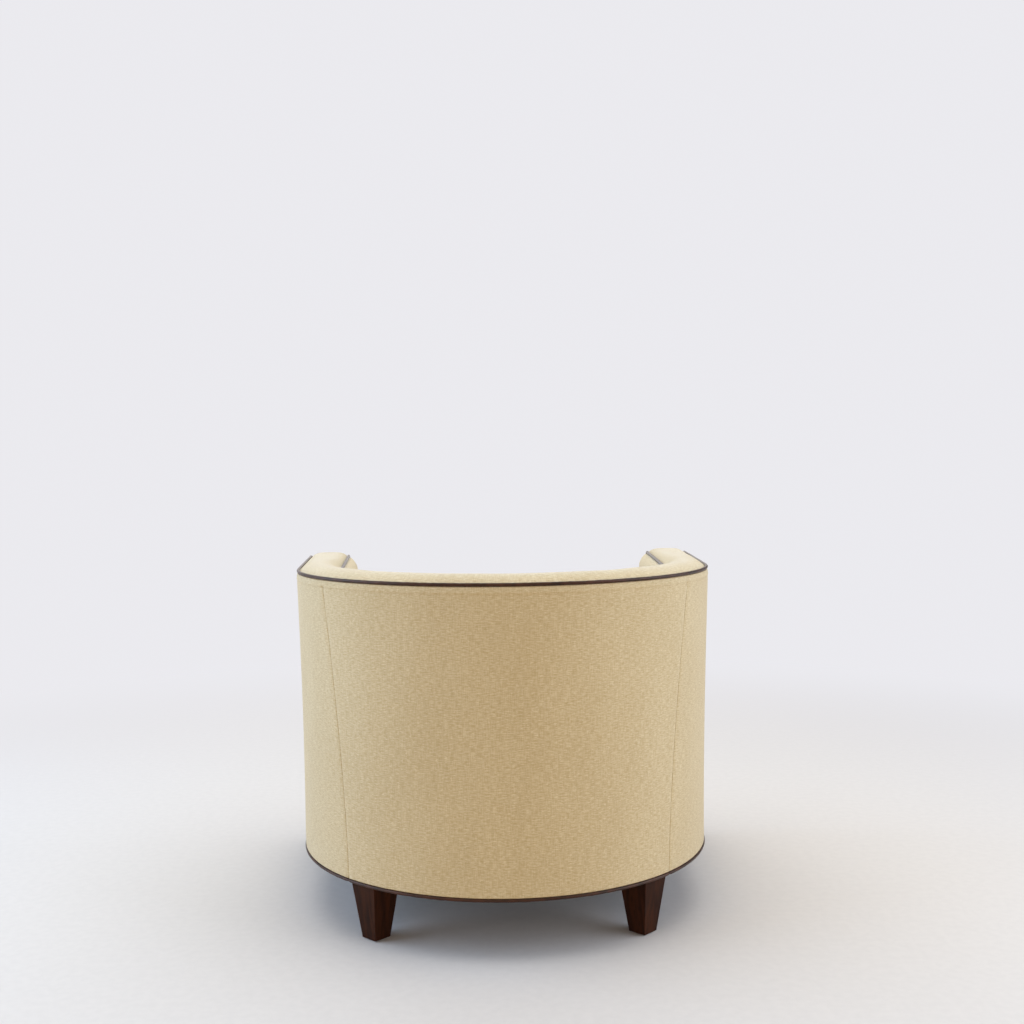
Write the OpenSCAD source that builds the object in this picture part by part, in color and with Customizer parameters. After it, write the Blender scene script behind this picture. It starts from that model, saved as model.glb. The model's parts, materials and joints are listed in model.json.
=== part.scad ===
// Low tub chair: a curved back that runs on into straight arms, thin padded walls with a crowned top,
// leather piping, four tapered wooden legs and a loose seat cushion.
// It stands on the floor at z = 0, faces -Y and is centred on x = 0 and y = 0. Left is the sitter's left, +X.
// The walls follow one plan: an arc about (0, arc_y), then a straight arm on each side. An inset is measured
// inward from the outer face of the wall at its top edge, and a run forward along an arm from the arc's end.

/* [Body] */
// Radius of the back, at its top edge
back_r = 405; // [395:1:425]
// Depth of the whole chair
overall_d = 780; // [750:1:810]
// Angle by which each arm opens towards the front
splay = 3.5; // [0:0.5:5]
// Height of the outside covers, from the lower piping to the middle of the upper piping
body_h = 535; // [500:1:570]
// Inset of the body's lower edge
flare = 10; // [6:1:14]
// Thickness of the walls at the top, over both lines of piping
wall_t = 90; // [84:1:98]
// Rise of the padded top above its piping
crown_h = 15; // [8:1:20]
// Distance of each rear seam from the middle, at the top
seam_top_x = 333; // [310:1:342]
// Distance of each rear seam from the middle, at the bottom
seam_low_x = 288; // [260:1:300]

/* [Legs] */
// Height of the frame's underside above the floor
leg_h = 105; // [80:1:130]
// Side of a leg at its top
leg_top = 61; // [50:1:64]
// Side of a leg at its foot
leg_foot = 35; // [26:1:44]
// Angle of each rear leg from straight back, seen from the middle of the back's curve
rear_leg_deg = 42.6; // [38:0.2:44]
// Thickness of the glides under the feet
glide_t = 2; // [1:0.5:4]
// Diameter of the glides
glide_d = 22; // [16:1:24]

/* [Frame] */
// Thickness of the seat rails
rail_t = 26; // [22:1:28]
// Height of the seat rails
rail_h = 150; // [130:1:170]
// Thickness of the plywood rim under the padded top
rim_t = 20; // [15:1:25]
// Width of the rim
rim_w = 46; // [40:1:60]
// Width of the uprights between rail and rim
upright_w = 42; // [30:1:44]
// Thickness of the uprights
upright_t = 24; // [18:0.5:25]
// Width of the front posts, across the arm
post_w = 66; // [56:1:68]
// Thickness of the front posts
post_t = 26; // [22:1:32]
// Height of the brace under the middle of the seat
brace_h = 60; // [40:1:90]
// Thickness of the brace
brace_t = 26; // [20:1:40]
// Width of the blocks that hold the leg bolts
block_w = 90; // [80:1:100]
// Height of those blocks
block_h = 32; // [24:1:45]

/* [Fixings] */
// Diameter of the hanger bolts
bolt_d = 8; // [6:1:10]
// Length of the hanger bolts
bolt_len = 78; // [60:1:90]
// Depth of a hanger bolt in its leg
bolt_in_leg = 46; // [35:1:55]
// Diameter of the tee nuts' barrels
nut_barrel_d = 10.4; // [10.2:0.1:11]
// Length of the tee nuts' barrels
nut_barrel_len = 12; // [9:1:16]
// Diameter of the tee nuts' flanges
nut_flange_d = 16; // [14:0.5:18]
// Thickness of the tee nuts' flanges
nut_flange_t = 1.6; // [1:0.1:2]
// Gap between a tee nut's flange and the rails beside it
bolt_clear = 1.5; // [1:0.5:3]
// How much wider than the bolts their bores through the blocks are
bolt_play = 1; // [0.5:0.1:2]

/* [Covers and padding] */
// Thickness of the linen with its backing
cloth_t = 1.5; // [1:0.1:2]
// Thickness of the board that closes the outside of the frame
board_t = 1.5; // [1:0.1:3]
// Thickness of the outside wadding at the lower edge, where it is thinnest
wadding_t = 1; // [0.5:0.1:3]
// Height of the card strip that stiffens the top edge of the outside covers
strip_h = 12; // [8:1:16]
// Thickness of the card strip
strip_t = 2; // [1:0.1:3]
// Thickness of the padding between the frame and the line of the top piping
pad_t = 12; // [9:1:14]
// Radius of the turn from the top of an arm down its front
bend_r = 20; // [18:1:30]
// How far the inside padding swells into the seat space
swell = 17; // [2:1:20]
// Height over which the inside padding swells below the top piping
swell_h = 28; // [20:1:60]
// Length over which that swell dies away towards the front of an arm
taper_len = 30; // [24:1:60]
// Angle of the inside seams, from straight sideways
inner_seam_deg = 40; // [30:1:50]
// Thickness of the hessian behind the inside padding
hessian_t = 1.5; // [1:0.1:2]
// Thickness of the dust cover
dust_t = 1; // [0.5:0.1:1.5]
// Inset of the dust cover's edge
dust_in = 24; // [20:1:30]

/* [Piping] */
// Diameter of the piping
welt_d = 6; // [5:0.2:7]
// How far the lower piping stands in front of the covers at the front
base_proud = 1; // [0.5:0.5:2]

/* [Seat] */
// Thickness of one layer of webbing
web_t = 2; // [1:0.5:3]
// Width of the webbing
web_w = 60; // [50:1:62]
// Distance between the middles of neighbouring strips of webbing
web_pitch = 110; // [108:1:112]
// Gap between the front rail and the first strip of webbing across the seat
web_front_gap = 14; // [8:1:20]
// Thickness of the deck padding on the webbing
deck_pad_t = 40; // [25:1:50]
// How far the front border stands behind the front piping
front_set = 4; // [3:1:8]
// Gap between the arms and the deck and front border between them
side_gap = 1; // [0.5:0.1:2]
// Thickness of the wadding on the front rail
front_wadding_t = 8; // [5:1:12]

/* [Seat cushion] */
// Height of the cushion's border
cushion_t = 115; // [90:1:130]
// Rise of the cushion's top above its border
cushion_crown = 16; // [8:1:25]
// Gap between the cushion and the walls round it
cushion_gap = 1; // [0.5:0.1:3]
// Radius of the cushion's front corners
cushion_corner_r = 28; // [15:1:40]
// How far the cushion's piping stands in front of the front border
cushion_proud = 2; // [0:0.5:4]
// How far the cushion's sides are drawn in behind its piping
border_in = 2; // [1:0.5:3]

/* [Hidden] */
$fn = 96;

linen = "#d9ceae";
leather = "#3f332e";
walnut = "#3a2419";
beech = "#d6b98c";
plywood = "#c9a878";
foam = "#efe3b4";
wadding = "#f2f1ec";
card = "#a58d6c";
hessian = "#9a7f55";
webbing = "#54483c";
black_cloth = "#26241f";
steel = "#b9bcc0";
nylon = "#2b2b2b";

// Clearance between pieces that are sewn, tacked or laid against each other
gap = 0.2;
// The same along a seam of two curved pieces, as an angle
seam_deg = 0.03;
// Clearance beside a line of piping
welt_gap = 0.3;
// How far a cut runs on past what it cuts
over = 1;
welt_r = welt_d / 2;
shoulder = welt_r + welt_gap;

// Heights
frame_z = leg_h;
lower_z = leg_h + welt_d;
upper_z = lower_z + body_h;
rail_z = frame_z + rail_h;
deck_z = rail_z + 2 * web_t;
seat_z = deck_z + deck_pad_t + cloth_t;
rim_z = upper_z - pad_t;
skin_low_z = lower_z + gap;
skin_top_z = upper_z - shoulder - gap;

// Insets, from the outer face of the wall inward
cloth_in = cloth_t + gap;
board_in = flare + cloth_in + wadding_t + gap;
frame_in = board_in + board_t + gap;
frame_back_in = frame_in + rail_t;
hessian_in = frame_back_in + gap + hessian_t;
base_welt_in = frame_in - welt_r - gap;
inner_in = wall_t + swell;
deck_in = inner_in + side_gap;
cushion_in = inner_in + cushion_gap;

// Places in plan
arc_y = overall_d / 2 - back_r;
arm_len = (arc_y + (back_r - wall_t / 2) * sin(splay) + overall_d / 2) / cos(splay) - crown_h;
skin_run = arm_len - shoulder;
post_run = arm_len - pad_t;
rail_run = post_run - post_t;
front_y = -overall_d / 2 + crown_h + front_set;
front_pad_y = front_y + cloth_t;
front_rail_y = front_pad_y + front_wadding_t;
border_run = (arc_y + (back_r - wall_t) * sin(splay) - front_pad_y) / cos(splay);
far = 2 * back_r;

// Shape of the flared outside and of the two rear seams, in straight steps from the lower edge up
skin_steps = 6;
seam_steps = 7;
flare_power = 1.8;
seam_power = 1.5;
// Angles of the arc that the rear seams lie between
seam_from_deg = 30;
seam_to_deg = 60;
// Each half of what is in one piece runs on a little past the middle of the back
middle_deg = 90.5;
function level(z) = min(1, max(0, (z - lower_z) / body_h));
function flare_in(z) = flare * (1 - pow(level(z), flare_power));
function seam_x(z) = seam_low_x + (seam_top_x - seam_low_x) * pow(level(z), seam_power);
skin_levels = [for (i = [0:skin_steps]) skin_low_z + (skin_top_z - skin_low_z) * i / skin_steps];
skin_table = [for (z = skin_levels) [z, flare_in(z)]];
function skin_in(z) = lookup(z, skin_table);
function reversed(v) = [for (i = [len(v) - 1:-1:0]) v[i]];

// The crowned top border, as places across the wall and heights over the piping's line
crown_steps = 8;
crown_power = 2.4;
border_w0 = back_r - welt_d - welt_gap;
border_w1 = back_r - wall_t + welt_d + welt_gap;
border_inner_w = back_r - wall_t + cloth_in + gap;
function crown(u) = crown_h * (1 - pow(abs(2 * u - 1), crown_power));
function crown_line(drop) =
    [for (i = [0:crown_steps]) let(u = i / crown_steps) [border_w0 + (border_w1 - border_w0) * u, crown(u) - drop]];
border_cover_line = concat(crown_line(0), reversed(crown_line(cloth_t)));
border_pad_line = concat(
    [[back_r - frame_in, -pad_t], [back_r - frame_in, -shoulder], [border_w0, -shoulder]],
    crown_line(cloth_t),
    [[border_w1, -shoulder], [border_inner_w, -shoulder], [border_inner_w, -pad_t]]
);

// The swelling inner face of the walls
swell_steps = 5;
function inner_face(z) =
    let(u = min(1, (upper_z - z) / swell_h)) wall_t + swell * (1 - pow(1 - u, 2));
inner_levels = concat(
    [deck_z + gap],
    [for (i = [swell_steps:-1:0]) skin_top_z - (swell_h + skin_top_z - upper_z) * i / swell_steps]
);

// Uprights stand between the strips of webbing
upright_mid_r = back_r - frame_in - rail_t / 2;
upright_xs = [for (i = [0.5:1:2.5]) i * web_pitch];
board_seam_deg = acos(upright_xs[2] / upright_mid_r);
first_cross_y = front_rail_y + rail_t + web_front_gap + web_w / 2;
cross_ys = [for (i = [0:3]) first_cross_y + i * web_pitch];
side_upright_y = first_cross_y + 1.5 * web_pitch;
side_upright_run = (arc_y + upright_mid_r * sin(splay) - side_upright_y) / cos(splay);

// Legs stand where their tee nuts clear the rails, and the front ones clear the posts too
bolt_in = frame_back_in + nut_flange_d / 2 + bolt_clear;
rear_leg_x = (back_r - bolt_in) * sin(rear_leg_deg);
rear_leg_y = arc_y + (back_r - bolt_in) * cos(rear_leg_deg);
rail_back_y = front_rail_y + rail_t;
rail_back_run = (arc_y + (back_r - bolt_in) * sin(splay) - rail_back_y) / cos(splay);
front_leg_run = min(rail_back_run, rail_run) - nut_flange_d / 2 - bolt_clear;

// Places along the arc for tubes, and the sides of a tube
arc_step = 3;
bend_step = 15;
drop_steps = 6;
tube_sides = 8;

function unit(v) = v / norm(v);
// Outward and forward directions of an arm; side is 1 on the left and -1 on the right
function outward(side) = [side * cos(splay), sin(splay), 0];
function forward(side) = [side * sin(splay), -cos(splay), 0];
function arm_point(side, inset, run, z) =
    [0, arc_y, z] + (back_r - inset) * outward(side) + run * forward(side);
function arc_point(deg, inset, z) = [(back_r - inset) * cos(deg), arc_y + (back_r - inset) * sin(deg), z];
function arc_stations(from_deg, to_deg, inset, z) =
    let(n = 2 * ceil((to_deg - from_deg) / arc_step / 2))
    [for (i = [0:n]) let(a = from_deg + (to_deg - from_deg) * i / n) [arc_point(a, inset, z), [cos(a), sin(a), 0]]];

// Sweeps a profile of (radius, height) along the arc, between two angles from +X
module back_sweep(from_deg, to_deg) {
    translate([0, arc_y, 0])
        rotate([0, 0, from_deg])
            rotate_extrude(angle = to_deg - from_deg)
                children();
}

// Places what is drawn in an arm's own frame: x is the radius and -y the run
module on_arm(side) {
    mirror([side < 0 ? 1 : 0, 0, 0])
        translate([0, arc_y, 0])
            rotate([0, 0, splay])
                children();
}

// Sweeps a profile of (radius, height) along an arm's own -y, between two runs
module arm_sweep(from_run, to_run) {
    translate([0, -from_run, 0])
        rotate([90, 0, 0])
            linear_extrude(to_run - from_run)
                children();
}

// Sweeps a profile along an arm and on round the arc, as far as an angle from +X
module side_sweep(side, to_deg, to_run) {
    on_arm(side)
        union() {
            rotate_extrude(angle = to_deg - splay)
                children();
            arm_sweep(0, to_run)
                children();
        }
}

// A block in an arm's own frame
module arm_block(inset0, inset1, run0, run1, z0, z1) {
    translate([back_r - inset1, -run1, z0])
        cube([inset1 - inset0, run1 - run0, z1 - z0]);
}

module box_profile(inset0, inset1, z0, z1) {
    translate([back_r - inset1, z0])
        square([inset1 - inset0, z1 - z0]);
}

// The plan of the seat space inside an inset, as far forward as y0
module seat_plan(inset, y0) {
    r = back_r - inset;
    back_y = arc_y + r * sin(splay);
    back_x = r * cos(splay);
    front_x = back_x + (back_y - y0) * tan(splay);
    intersection() {
        translate([0, arc_y])
            circle(r);
        translate([-far, arc_y])
            square([2 * far, far]);
    }
    polygon([[back_x, back_y], [-back_x, back_y], [-front_x, y0], [front_x, y0]]);
}

// A tube through stations of [point, outward direction]
module tube(stations, r, closed = false) {
    n = len(stations);
    m = tube_sides;
    last = closed ? n - 1 : n - 2;
    points = [
        for (i = [0:n - 1])
            let(
                ahead = stations[closed ? (i + 1) % n : min(i + 1, n - 1)][0],
                behind = stations[closed ? (i + n - 1) % n : max(i - 1, 0)][0],
                across = unit(stations[i][1]),
                over = cross(unit(ahead - behind), across)
            )
            for (j = [0:m - 1])
                stations[i][0] + r * cos(360 * j / m) * across + r * sin(360 * j / m) * over
    ];
    sides = [
        for (i = [0:last], j = [0:m - 1])
            let(a = i * m + j, b = i * m + (j + 1) % m, c = ((i + 1) % n) * m + j, d = ((i + 1) % n) * m + (j + 1) % m)
            each [[a, c, d], [a, d, b]]
    ];
    caps = closed ? [] : [for (j = [1:m - 2]) each [[0, j, j + 1], [(n - 1) * m, (n - 1) * m + j + 1, (n - 1) * m + j]]];
    polyhedron(points, concat(sides, caps));
}

// A closed solid through rings of equally many points, each ring anticlockwise from above
module skin(rings) {
    n = len(rings);
    m = len(rings[0]);
    sides = [
        for (i = [0:n - 2], j = [0:m - 1])
            let(a = i * m + j, b = i * m + (j + 1) % m, c = a + m, d = b + m)
            each [[a, c, d], [a, d, b]]
    ];
    caps = [for (j = [1:m - 2]) each [[0, j, j + 1], [(n - 1) * m, (n - 1) * m + j + 1, (n - 1) * m + j]]];
    polyhedron([for (ring = rings) each ring], concat(sides, caps));
}

// Frame

module front_rail() {
    color(beech)
        difference() {
            translate([-far / 2, front_rail_y, frame_z])
                cube([far, rail_t, rail_h]);
            for (side = [-1, 1])
                on_arm(side)
                    translate([back_r - frame_in - post_w, -arm_len - far / 2, frame_z - over])
                        cube([far, far, rail_h + 2 * over]);
        }
}

module back_rail() {
    color(beech)
        back_sweep(splay, 180 - splay)
            box_profile(frame_in, frame_back_in, frame_z, rail_z);
}

module side_rail(side) {
    color(beech)
        on_arm(side)
            arm_block(frame_in, frame_back_in, 0, rail_run, frame_z, rail_z);
}

module front_post(side) {
    color(beech)
        on_arm(side)
            arm_block(frame_in, frame_in + post_w, rail_run, post_run, frame_z, rim_z - rim_t);
}

// Six uprights on the curved rail and one on each side rail
module uprights() {
    color(beech) {
        for (side = [-1, 1], x = upright_xs)
            translate([0, arc_y, 0])
                rotate([0, 0, 90 - side * asin(x / upright_mid_r)])
                    translate([back_r - frame_back_in + gap, -upright_w / 2, rail_z])
                        cube([upright_t, upright_w, rim_z - rim_t - rail_z]);
        for (side = [-1, 1])
            on_arm(side)
                translate([back_r - frame_back_in + gap, -side_upright_run - upright_w / 2, rail_z])
                    cube([upright_t, upright_w, rim_z - rim_t - rail_z]);
    }
}

module back_rim() {
    color(plywood)
        back_sweep(splay, 180 - splay)
            box_profile(frame_in, frame_in + rim_w, rim_z - rim_t, rim_z);
}

module arm_rim(side) {
    color(plywood)
        on_arm(side)
            arm_block(frame_in, frame_in + rim_w, 0, post_run, rim_z - rim_t, rim_z);
}

module seat_brace() {
    color(beech)
        intersection() {
            translate([-brace_t / 2, rail_back_y, frame_z])
                cube([brace_t, far, brace_h]);
            translate([0, 0, frame_z - over])
                linear_extrude(brace_h + 2 * over)
                    seat_plan(frame_back_in + gap, front_rail_y);
        }
}

// Runs children in the frame of each front or rear leg, with its middle on z
module at_front_leg(side) {
    on_arm(side)
        translate([back_r - bolt_in, -front_leg_run, 0])
            children();
}

module at_rear_leg(side) {
    translate([side * rear_leg_x, rear_leg_y, 0])
        rotate([0, 0, 45])
            children();
}

module at_legs() {
    for (side = [-1, 1]) {
        at_front_leg(side)
            children();
        at_rear_leg(side)
            children();
    }
}

// Bore for a hanger bolt and the tee nut above it
module bolt_bore() {
    translate([0, 0, frame_z - over])
        cylinder(h = block_h + 2 * over, d = bolt_d + bolt_play);
    translate([0, 0, frame_z + block_h - nut_barrel_len])
        cylinder(h = nut_barrel_len + over, d = nut_barrel_d + gap);
}

module front_leg_blocks() {
    color(beech)
        difference() {
            for (side = [-1, 1])
                on_arm(side)
                    arm_block(frame_back_in, frame_back_in + block_w, front_leg_run - block_w / 2, rail_run,
                        frame_z, frame_z + block_h);
            translate([-far / 2, rail_back_y - far, frame_z - over])
                cube([far, far, block_h + 2 * over]);
            for (side = [-1, 1])
                at_front_leg(side)
                    bolt_bore();
        }
}

module rear_leg_blocks() {
    color(beech)
        difference() {
            intersection() {
                for (side = [-1, 1])
                    at_rear_leg(side)
                        translate([-block_w / 2, -block_w / 2, frame_z])
                            cube([block_w, block_w, block_h]);
                translate([0, arc_y, frame_z - over])
                    cylinder(h = block_h + 2 * over, r = back_r - frame_back_in - gap);
            }
            for (side = [-1, 1])
                at_rear_leg(side)
                    bolt_bore();
        }
}

// Legs and their fixings

module leg_taper() {
    translate([0, leg_top, 0])
        rotate([90, 0, 0])
            linear_extrude(2 * leg_top)
                polygon([
                    [-leg_foot / 2, glide_t], [leg_foot / 2, glide_t], [leg_top / 2, frame_z], [-leg_top / 2, frame_z]
                ]);
}

module leg() {
    color(walnut)
        difference() {
            intersection() {
                leg_taper();
                rotate([0, 0, 90])
                    leg_taper();
            }
            translate([0, 0, frame_z - bolt_in_leg])
                cylinder(h = bolt_in_leg + over, d = bolt_d + gap);
        }
}

module leg_glides() {
    color(nylon)
        at_legs()
            cylinder(h = glide_t, d = glide_d);
}

module hanger_bolts() {
    color(steel)
        at_legs()
            translate([0, 0, frame_z - bolt_in_leg])
                cylinder(h = bolt_len, d = bolt_d);
}

module tee_nuts() {
    color(steel)
        at_legs()
            difference() {
                union() {
                    translate([0, 0, frame_z + block_h - nut_barrel_len + gap])
                        cylinder(h = nut_barrel_len, d = nut_barrel_d);
                    translate([0, 0, frame_z + block_h])
                        cylinder(h = nut_flange_t, d = nut_flange_d);
                }
                translate([0, 0, frame_z])
                    cylinder(h = 2 * block_h, d = bolt_d + gap);
            }
}

// Seat deck

module long_webbing() {
    half_r = back_r - frame_in - rail_t / 4;
    front_end = front_rail_y + rail_t / 4;
    color(webbing)
        for (i = [-2:2])
            let(x = i * web_pitch, edge = abs(x) + web_w / 2)
                translate([x - web_w / 2, front_end, rail_z])
                    cube([web_w, arc_y + sqrt(pow(half_r, 2) - pow(edge, 2)) - front_end, web_t]);
}

// Half the length of a strip of webbing across the seat, to an inset of the wall
function cross_half(y, inset) =
    let(r = back_r - inset, corner_y = y + (y > arc_y ? web_w / 2 : 0))
    y < arc_y ? (r + (arc_y - corner_y) * sin(splay)) / cos(splay) : sqrt(pow(r, 2) - pow(corner_y - arc_y, 2));

// Each end is folded under, onto the rail
module cross_webbing() {
    end_in = frame_in + rail_t / 4;
    color(webbing)
        for (y = cross_ys)
            let(half = cross_half(y, end_in), fold = rail_t)
                translate([0, y - web_w / 2, 0]) {
                    translate([-half, 0, rail_z + web_t])
                        cube([2 * half, web_w, web_t]);
                    for (side = [-1, 1])
                        translate([side * (half - fold / 2) - fold / 2, 0, rail_z])
                            cube([fold, web_w, web_t]);
                }
}

module deck_pad() {
    color(foam)
        translate([0, 0, deck_z])
            linear_extrude(deck_pad_t)
                seat_plan(deck_in, front_pad_y + gap);
}

module deck_cover() {
    color(linen)
        translate([0, 0, deck_z + deck_pad_t])
            linear_extrude(cloth_t)
                seat_plan(deck_in, front_pad_y + gap);
}

// Inside of the back and arms

module inner_profile(depth) {
    polygon(concat(
        [[back_r - hessian_in - gap, skin_top_z], [back_r - hessian_in - gap, inner_levels[0]]],
        [for (z = inner_levels) [back_r - inner_face(z) + depth, z]]
    ));
}

// The room of the rim and of the padded top, beside the inside padding
module beside_inner_pad() {
    box_profile(0, frame_in + rim_w + gap, rim_z - rim_t - gap, far);
    box_profile(0, wall_t - cloth_in, rim_z - gap, far);
}

// What lies in front of an arm's outline with its rounded top corner, at a clearance inside the piping
module beyond_front() {
    rotate([90, 0, 90])
        linear_extrude(far)
            difference() {
                translate([-far, 0])
                    square([far + bend_r - arm_len, far]);
                translate([-skin_run, -over])
                    square([far, upper_z - bend_r + over]);
                translate([bend_r - arm_len, upper_z - bend_r])
                    circle(bend_r - shoulder);
            }
}

// Takes the swell off the inside padding towards the front of an arm, up to the back of the front border
module front_taper(depth) {
    translate([0, 0, deck_z - over])
        linear_extrude(far)
            polygon([
                [back_r - inner_in + depth, taper_len - arm_len], [back_r - wall_t + depth, -border_run],
                [back_r - wall_t + depth, -far], [0, -far], [0, taper_len - arm_len]
            ]);
}

module inner_side(side, depth, run) {
    difference() {
        side_sweep(side, inner_seam_deg, run)
            inner_profile(depth);
        on_arm(side)
            front_taper(depth);
    }
}

module inside_back_pad() {
    color(foam)
        difference() {
            back_sweep(inner_seam_deg + seam_deg, 180 - inner_seam_deg - seam_deg)
                inner_profile(cloth_in);
            back_sweep(0, 180)
                beside_inner_pad();
        }
}

module inside_side_pad(side) {
    color(foam)
        difference() {
            inner_side(side, cloth_in, post_run - gap);
            side_sweep(side, 90, far)
                beside_inner_pad();
            on_arm(side) {
                arm_block(0, frame_in + post_w + gap, rail_run - gap, far, 0, far);
                beyond_front();
            }
        }
}

module inside_hessian() {
    color(hessian)
        for (side = [-1, 1])
            side_sweep(side, middle_deg, rail_run - gap)
                box_profile(frame_back_in + gap, hessian_in, deck_z + gap, rim_z - rim_t);
}

// The linen on the inside padding: all of the inside less what lies behind it
module inside_back_cover() {
    color(linen)
        back_sweep(inner_seam_deg + seam_deg, 180 - inner_seam_deg - seam_deg)
            polygon(concat(
                [for (z = inner_levels) [back_r - inner_face(z), z]],
                [for (z = reversed(inner_levels)) [back_r - inner_face(z) + cloth_t, z]]
            ));
}

module inside_side_cover(side) {
    color(linen)
        difference() {
            inner_side(side, 0, arm_len);
            difference() {
                side_sweep(side, 90, arm_len + over)
                    polygon(concat(
                        [[back_r, far], [back_r, 0]],
                        [for (z = concat([0], inner_levels, [far])) [back_r - inner_face(z) + cloth_t, z]]
                    ));
                on_arm(side)
                    front_taper(cloth_t);
            }
            on_arm(side)
                beyond_front();
        }
}

// Padded top and arm fronts

// Sweeps a border line, of places across the wall and heights over the piping, along an arm and down its front
module border_sweep(line) {
    arm_sweep(0, arm_len - bend_r)
        polygon([for (p = line) [p.x, upper_z + p.y]]);
    intersection() {
        union() {
            translate([0, bend_r - arm_len, upper_z - bend_r])
                rotate([0, 90, 0])
                    rotate([0, 0, 180])
                        rotate_extrude(angle = 90)
                            polygon([for (p = line) [bend_r + p.y, p.x]]);
            translate([0, 0, skin_low_z])
                linear_extrude(upper_z - bend_r - skin_low_z)
                    polygon([for (p = line) [p.x, -arm_len - p.y]]);
        }
        arm_sweep(0, far)
            polygon(concat(
                [[0, far], [0, 0]],
                [for (z = concat([0], skin_levels, [far])) [border_w0 - skin_in(z), z]]
            ));
    }
}

module back_top_pad() {
    color(foam)
        back_sweep(splay, 180 - splay)
            polygon([for (p = border_pad_line) [p.x, upper_z + p.y]]);
}

// The padding is cut square where it goes over the corner of the rim and the post
module arm_pad(side) {
    color(foam)
        on_arm(side)
            difference() {
                border_sweep(border_pad_line);
                arm_block(0, far, 0, post_run, upper_z - bend_r - over, rim_z);
            }
}

module top_border_cover() {
    color(linen)
        for (side = [-1, 1])
            on_arm(side) {
                rotate_extrude(angle = middle_deg - splay)
                    polygon([for (p = border_cover_line) [p.x, upper_z + p.y]]);
                border_sweep(border_cover_line);
            }
}

// Stations up the front of an arm, over its bend and back to the arc
function arm_stations(side, inset, flared) =
    let(bend_z = upper_z - bend_r)
    concat(
        [for (i = [0:drop_steps - 1])
            let(z = skin_low_z + (bend_z - skin_low_z) * i / drop_steps)
            [arm_point(side, inset + (flared ? skin_in(z) : 0), arm_len, z), outward(side)]],
        [for (a = [0:bend_step:90])
            let(z = bend_z + bend_r * sin(a))
            [arm_point(side, inset + (flared ? skin_in(z) : 0), arm_len - bend_r + bend_r * cos(a), z), outward(side)]]
    );

function top_stations(inset, flared) =
    concat(
        arm_stations(1, inset, flared),
        arc_stations(splay, 180 - splay, inset, upper_z),
        reversed(arm_stations(-1, inset, flared))
    );

module outer_top_piping() {
    color(leather)
        tube(top_stations(welt_r, true), welt_r);
}

module inner_top_piping() {
    color(leather)
        tube(top_stations(wall_t - welt_r, false), welt_r);
}

// Outside of the back and arms

// All that lies between the two rear seams
module between_seams() {
    levels = concat([0], [for (i = [0:seam_steps]) lower_z + body_h * i / seam_steps], [far]);
    translate([0, far, 0])
        rotate([90, 0, 0])
            linear_extrude(far)
                polygon(concat([for (z = levels) [seam_x(z), z]], [for (z = reversed(levels)) [-seam_x(z), z]]));
}

module back_part() {
    intersection() {
        back_sweep(seam_from_deg, 180 - seam_from_deg)
            children();
        between_seams();
    }
}

module side_part(side) {
    difference() {
        side_sweep(side, seam_to_deg, arm_len)
            children();
        between_seams();
        on_arm(side)
            beyond_front();
    }
}

module cover_profile() {
    polygon(concat(
        [for (z = skin_levels) [back_r - skin_in(z), z]],
        [for (z = reversed(skin_levels)) [back_r - skin_in(z) - cloth_t, z]]
    ));
}

module edge_strip_profile() {
    low = skin_top_z - strip_h;
    polygon([
        [back_r - skin_in(low) - cloth_in, low],
        [back_r - skin_in(skin_top_z) - cloth_in, skin_top_z],
        [back_r - skin_in(skin_top_z) - cloth_in - strip_t, skin_top_z],
        [back_r - skin_in(low) - cloth_in - strip_t, low]
    ]);
}

module wadding_profile() {
    strip_low = skin_top_z - strip_h - gap;
    polygon(concat(
        [for (z = concat([for (level_z = skin_levels) if (level_z < strip_low) level_z], [strip_low]))
            [back_r - skin_in(z) - cloth_in, z]],
        [for (z = [strip_low, skin_top_z]) [back_r - skin_in(z) - cloth_in - strip_t - gap, z]],
        [[back_r - board_in + gap, skin_top_z], [back_r - board_in + gap, skin_low_z]]
    ));
}

module outside_back_cover() {
    color(linen)
        back_part()
            cover_profile();
}

module outside_side_cover(side) {
    color(linen)
        side_part(side)
            cover_profile();
}

module outside_back_wadding() {
    color(wadding)
        back_part()
            wadding_profile();
}

module outside_side_wadding(side) {
    color(wadding)
        side_part(side)
            wadding_profile();
}

module outside_back_board() {
    color(card)
        back_sweep(board_seam_deg + seam_deg, 180 - board_seam_deg - seam_deg)
            box_profile(board_in, board_in + board_t, skin_low_z, skin_top_z);
}

module outside_side_board(side) {
    color(card)
        difference() {
            side_sweep(side, board_seam_deg, arm_len)
                box_profile(board_in, board_in + board_t, skin_low_z, skin_top_z);
            on_arm(side)
                beyond_front();
        }
}

module edge_strip() {
    color(card)
        for (side = [-1, 1])
            difference() {
                side_sweep(side, middle_deg, arm_len)
                    edge_strip_profile();
                on_arm(side)
                    beyond_front();
            }
}

// Front border between the arms

module between_arms(inset) {
    difference() {
        children();
        for (side = [-1, 1])
            on_arm(side)
                translate([back_r - inset, -far, 0])
                    cube([far, 2 * far, far]);
    }
}

module front_wadding() {
    color(wadding)
        between_arms(wall_t + side_gap)
            translate([-far / 2, front_pad_y, skin_low_z])
                cube([far, front_wadding_t, deck_z - gap - skin_low_z]);
}

module front_border_cover() {
    color(linen)
        between_arms(wall_t + side_gap)
            translate([-far / 2, front_y, skin_low_z])
                cube([far, cloth_t, seat_z - skin_low_z]);
}

// Lower edge

base_welt_z = lower_z - welt_r;
base_seam_deg = acos(seam_low_x / (back_r - flare));
base_welt_run = arm_len + base_proud - welt_r;

module back_base_piping() {
    color(leather)
        tube(arc_stations(base_seam_deg, 180 - base_seam_deg, base_welt_in, base_welt_z), welt_r);
}

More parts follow.
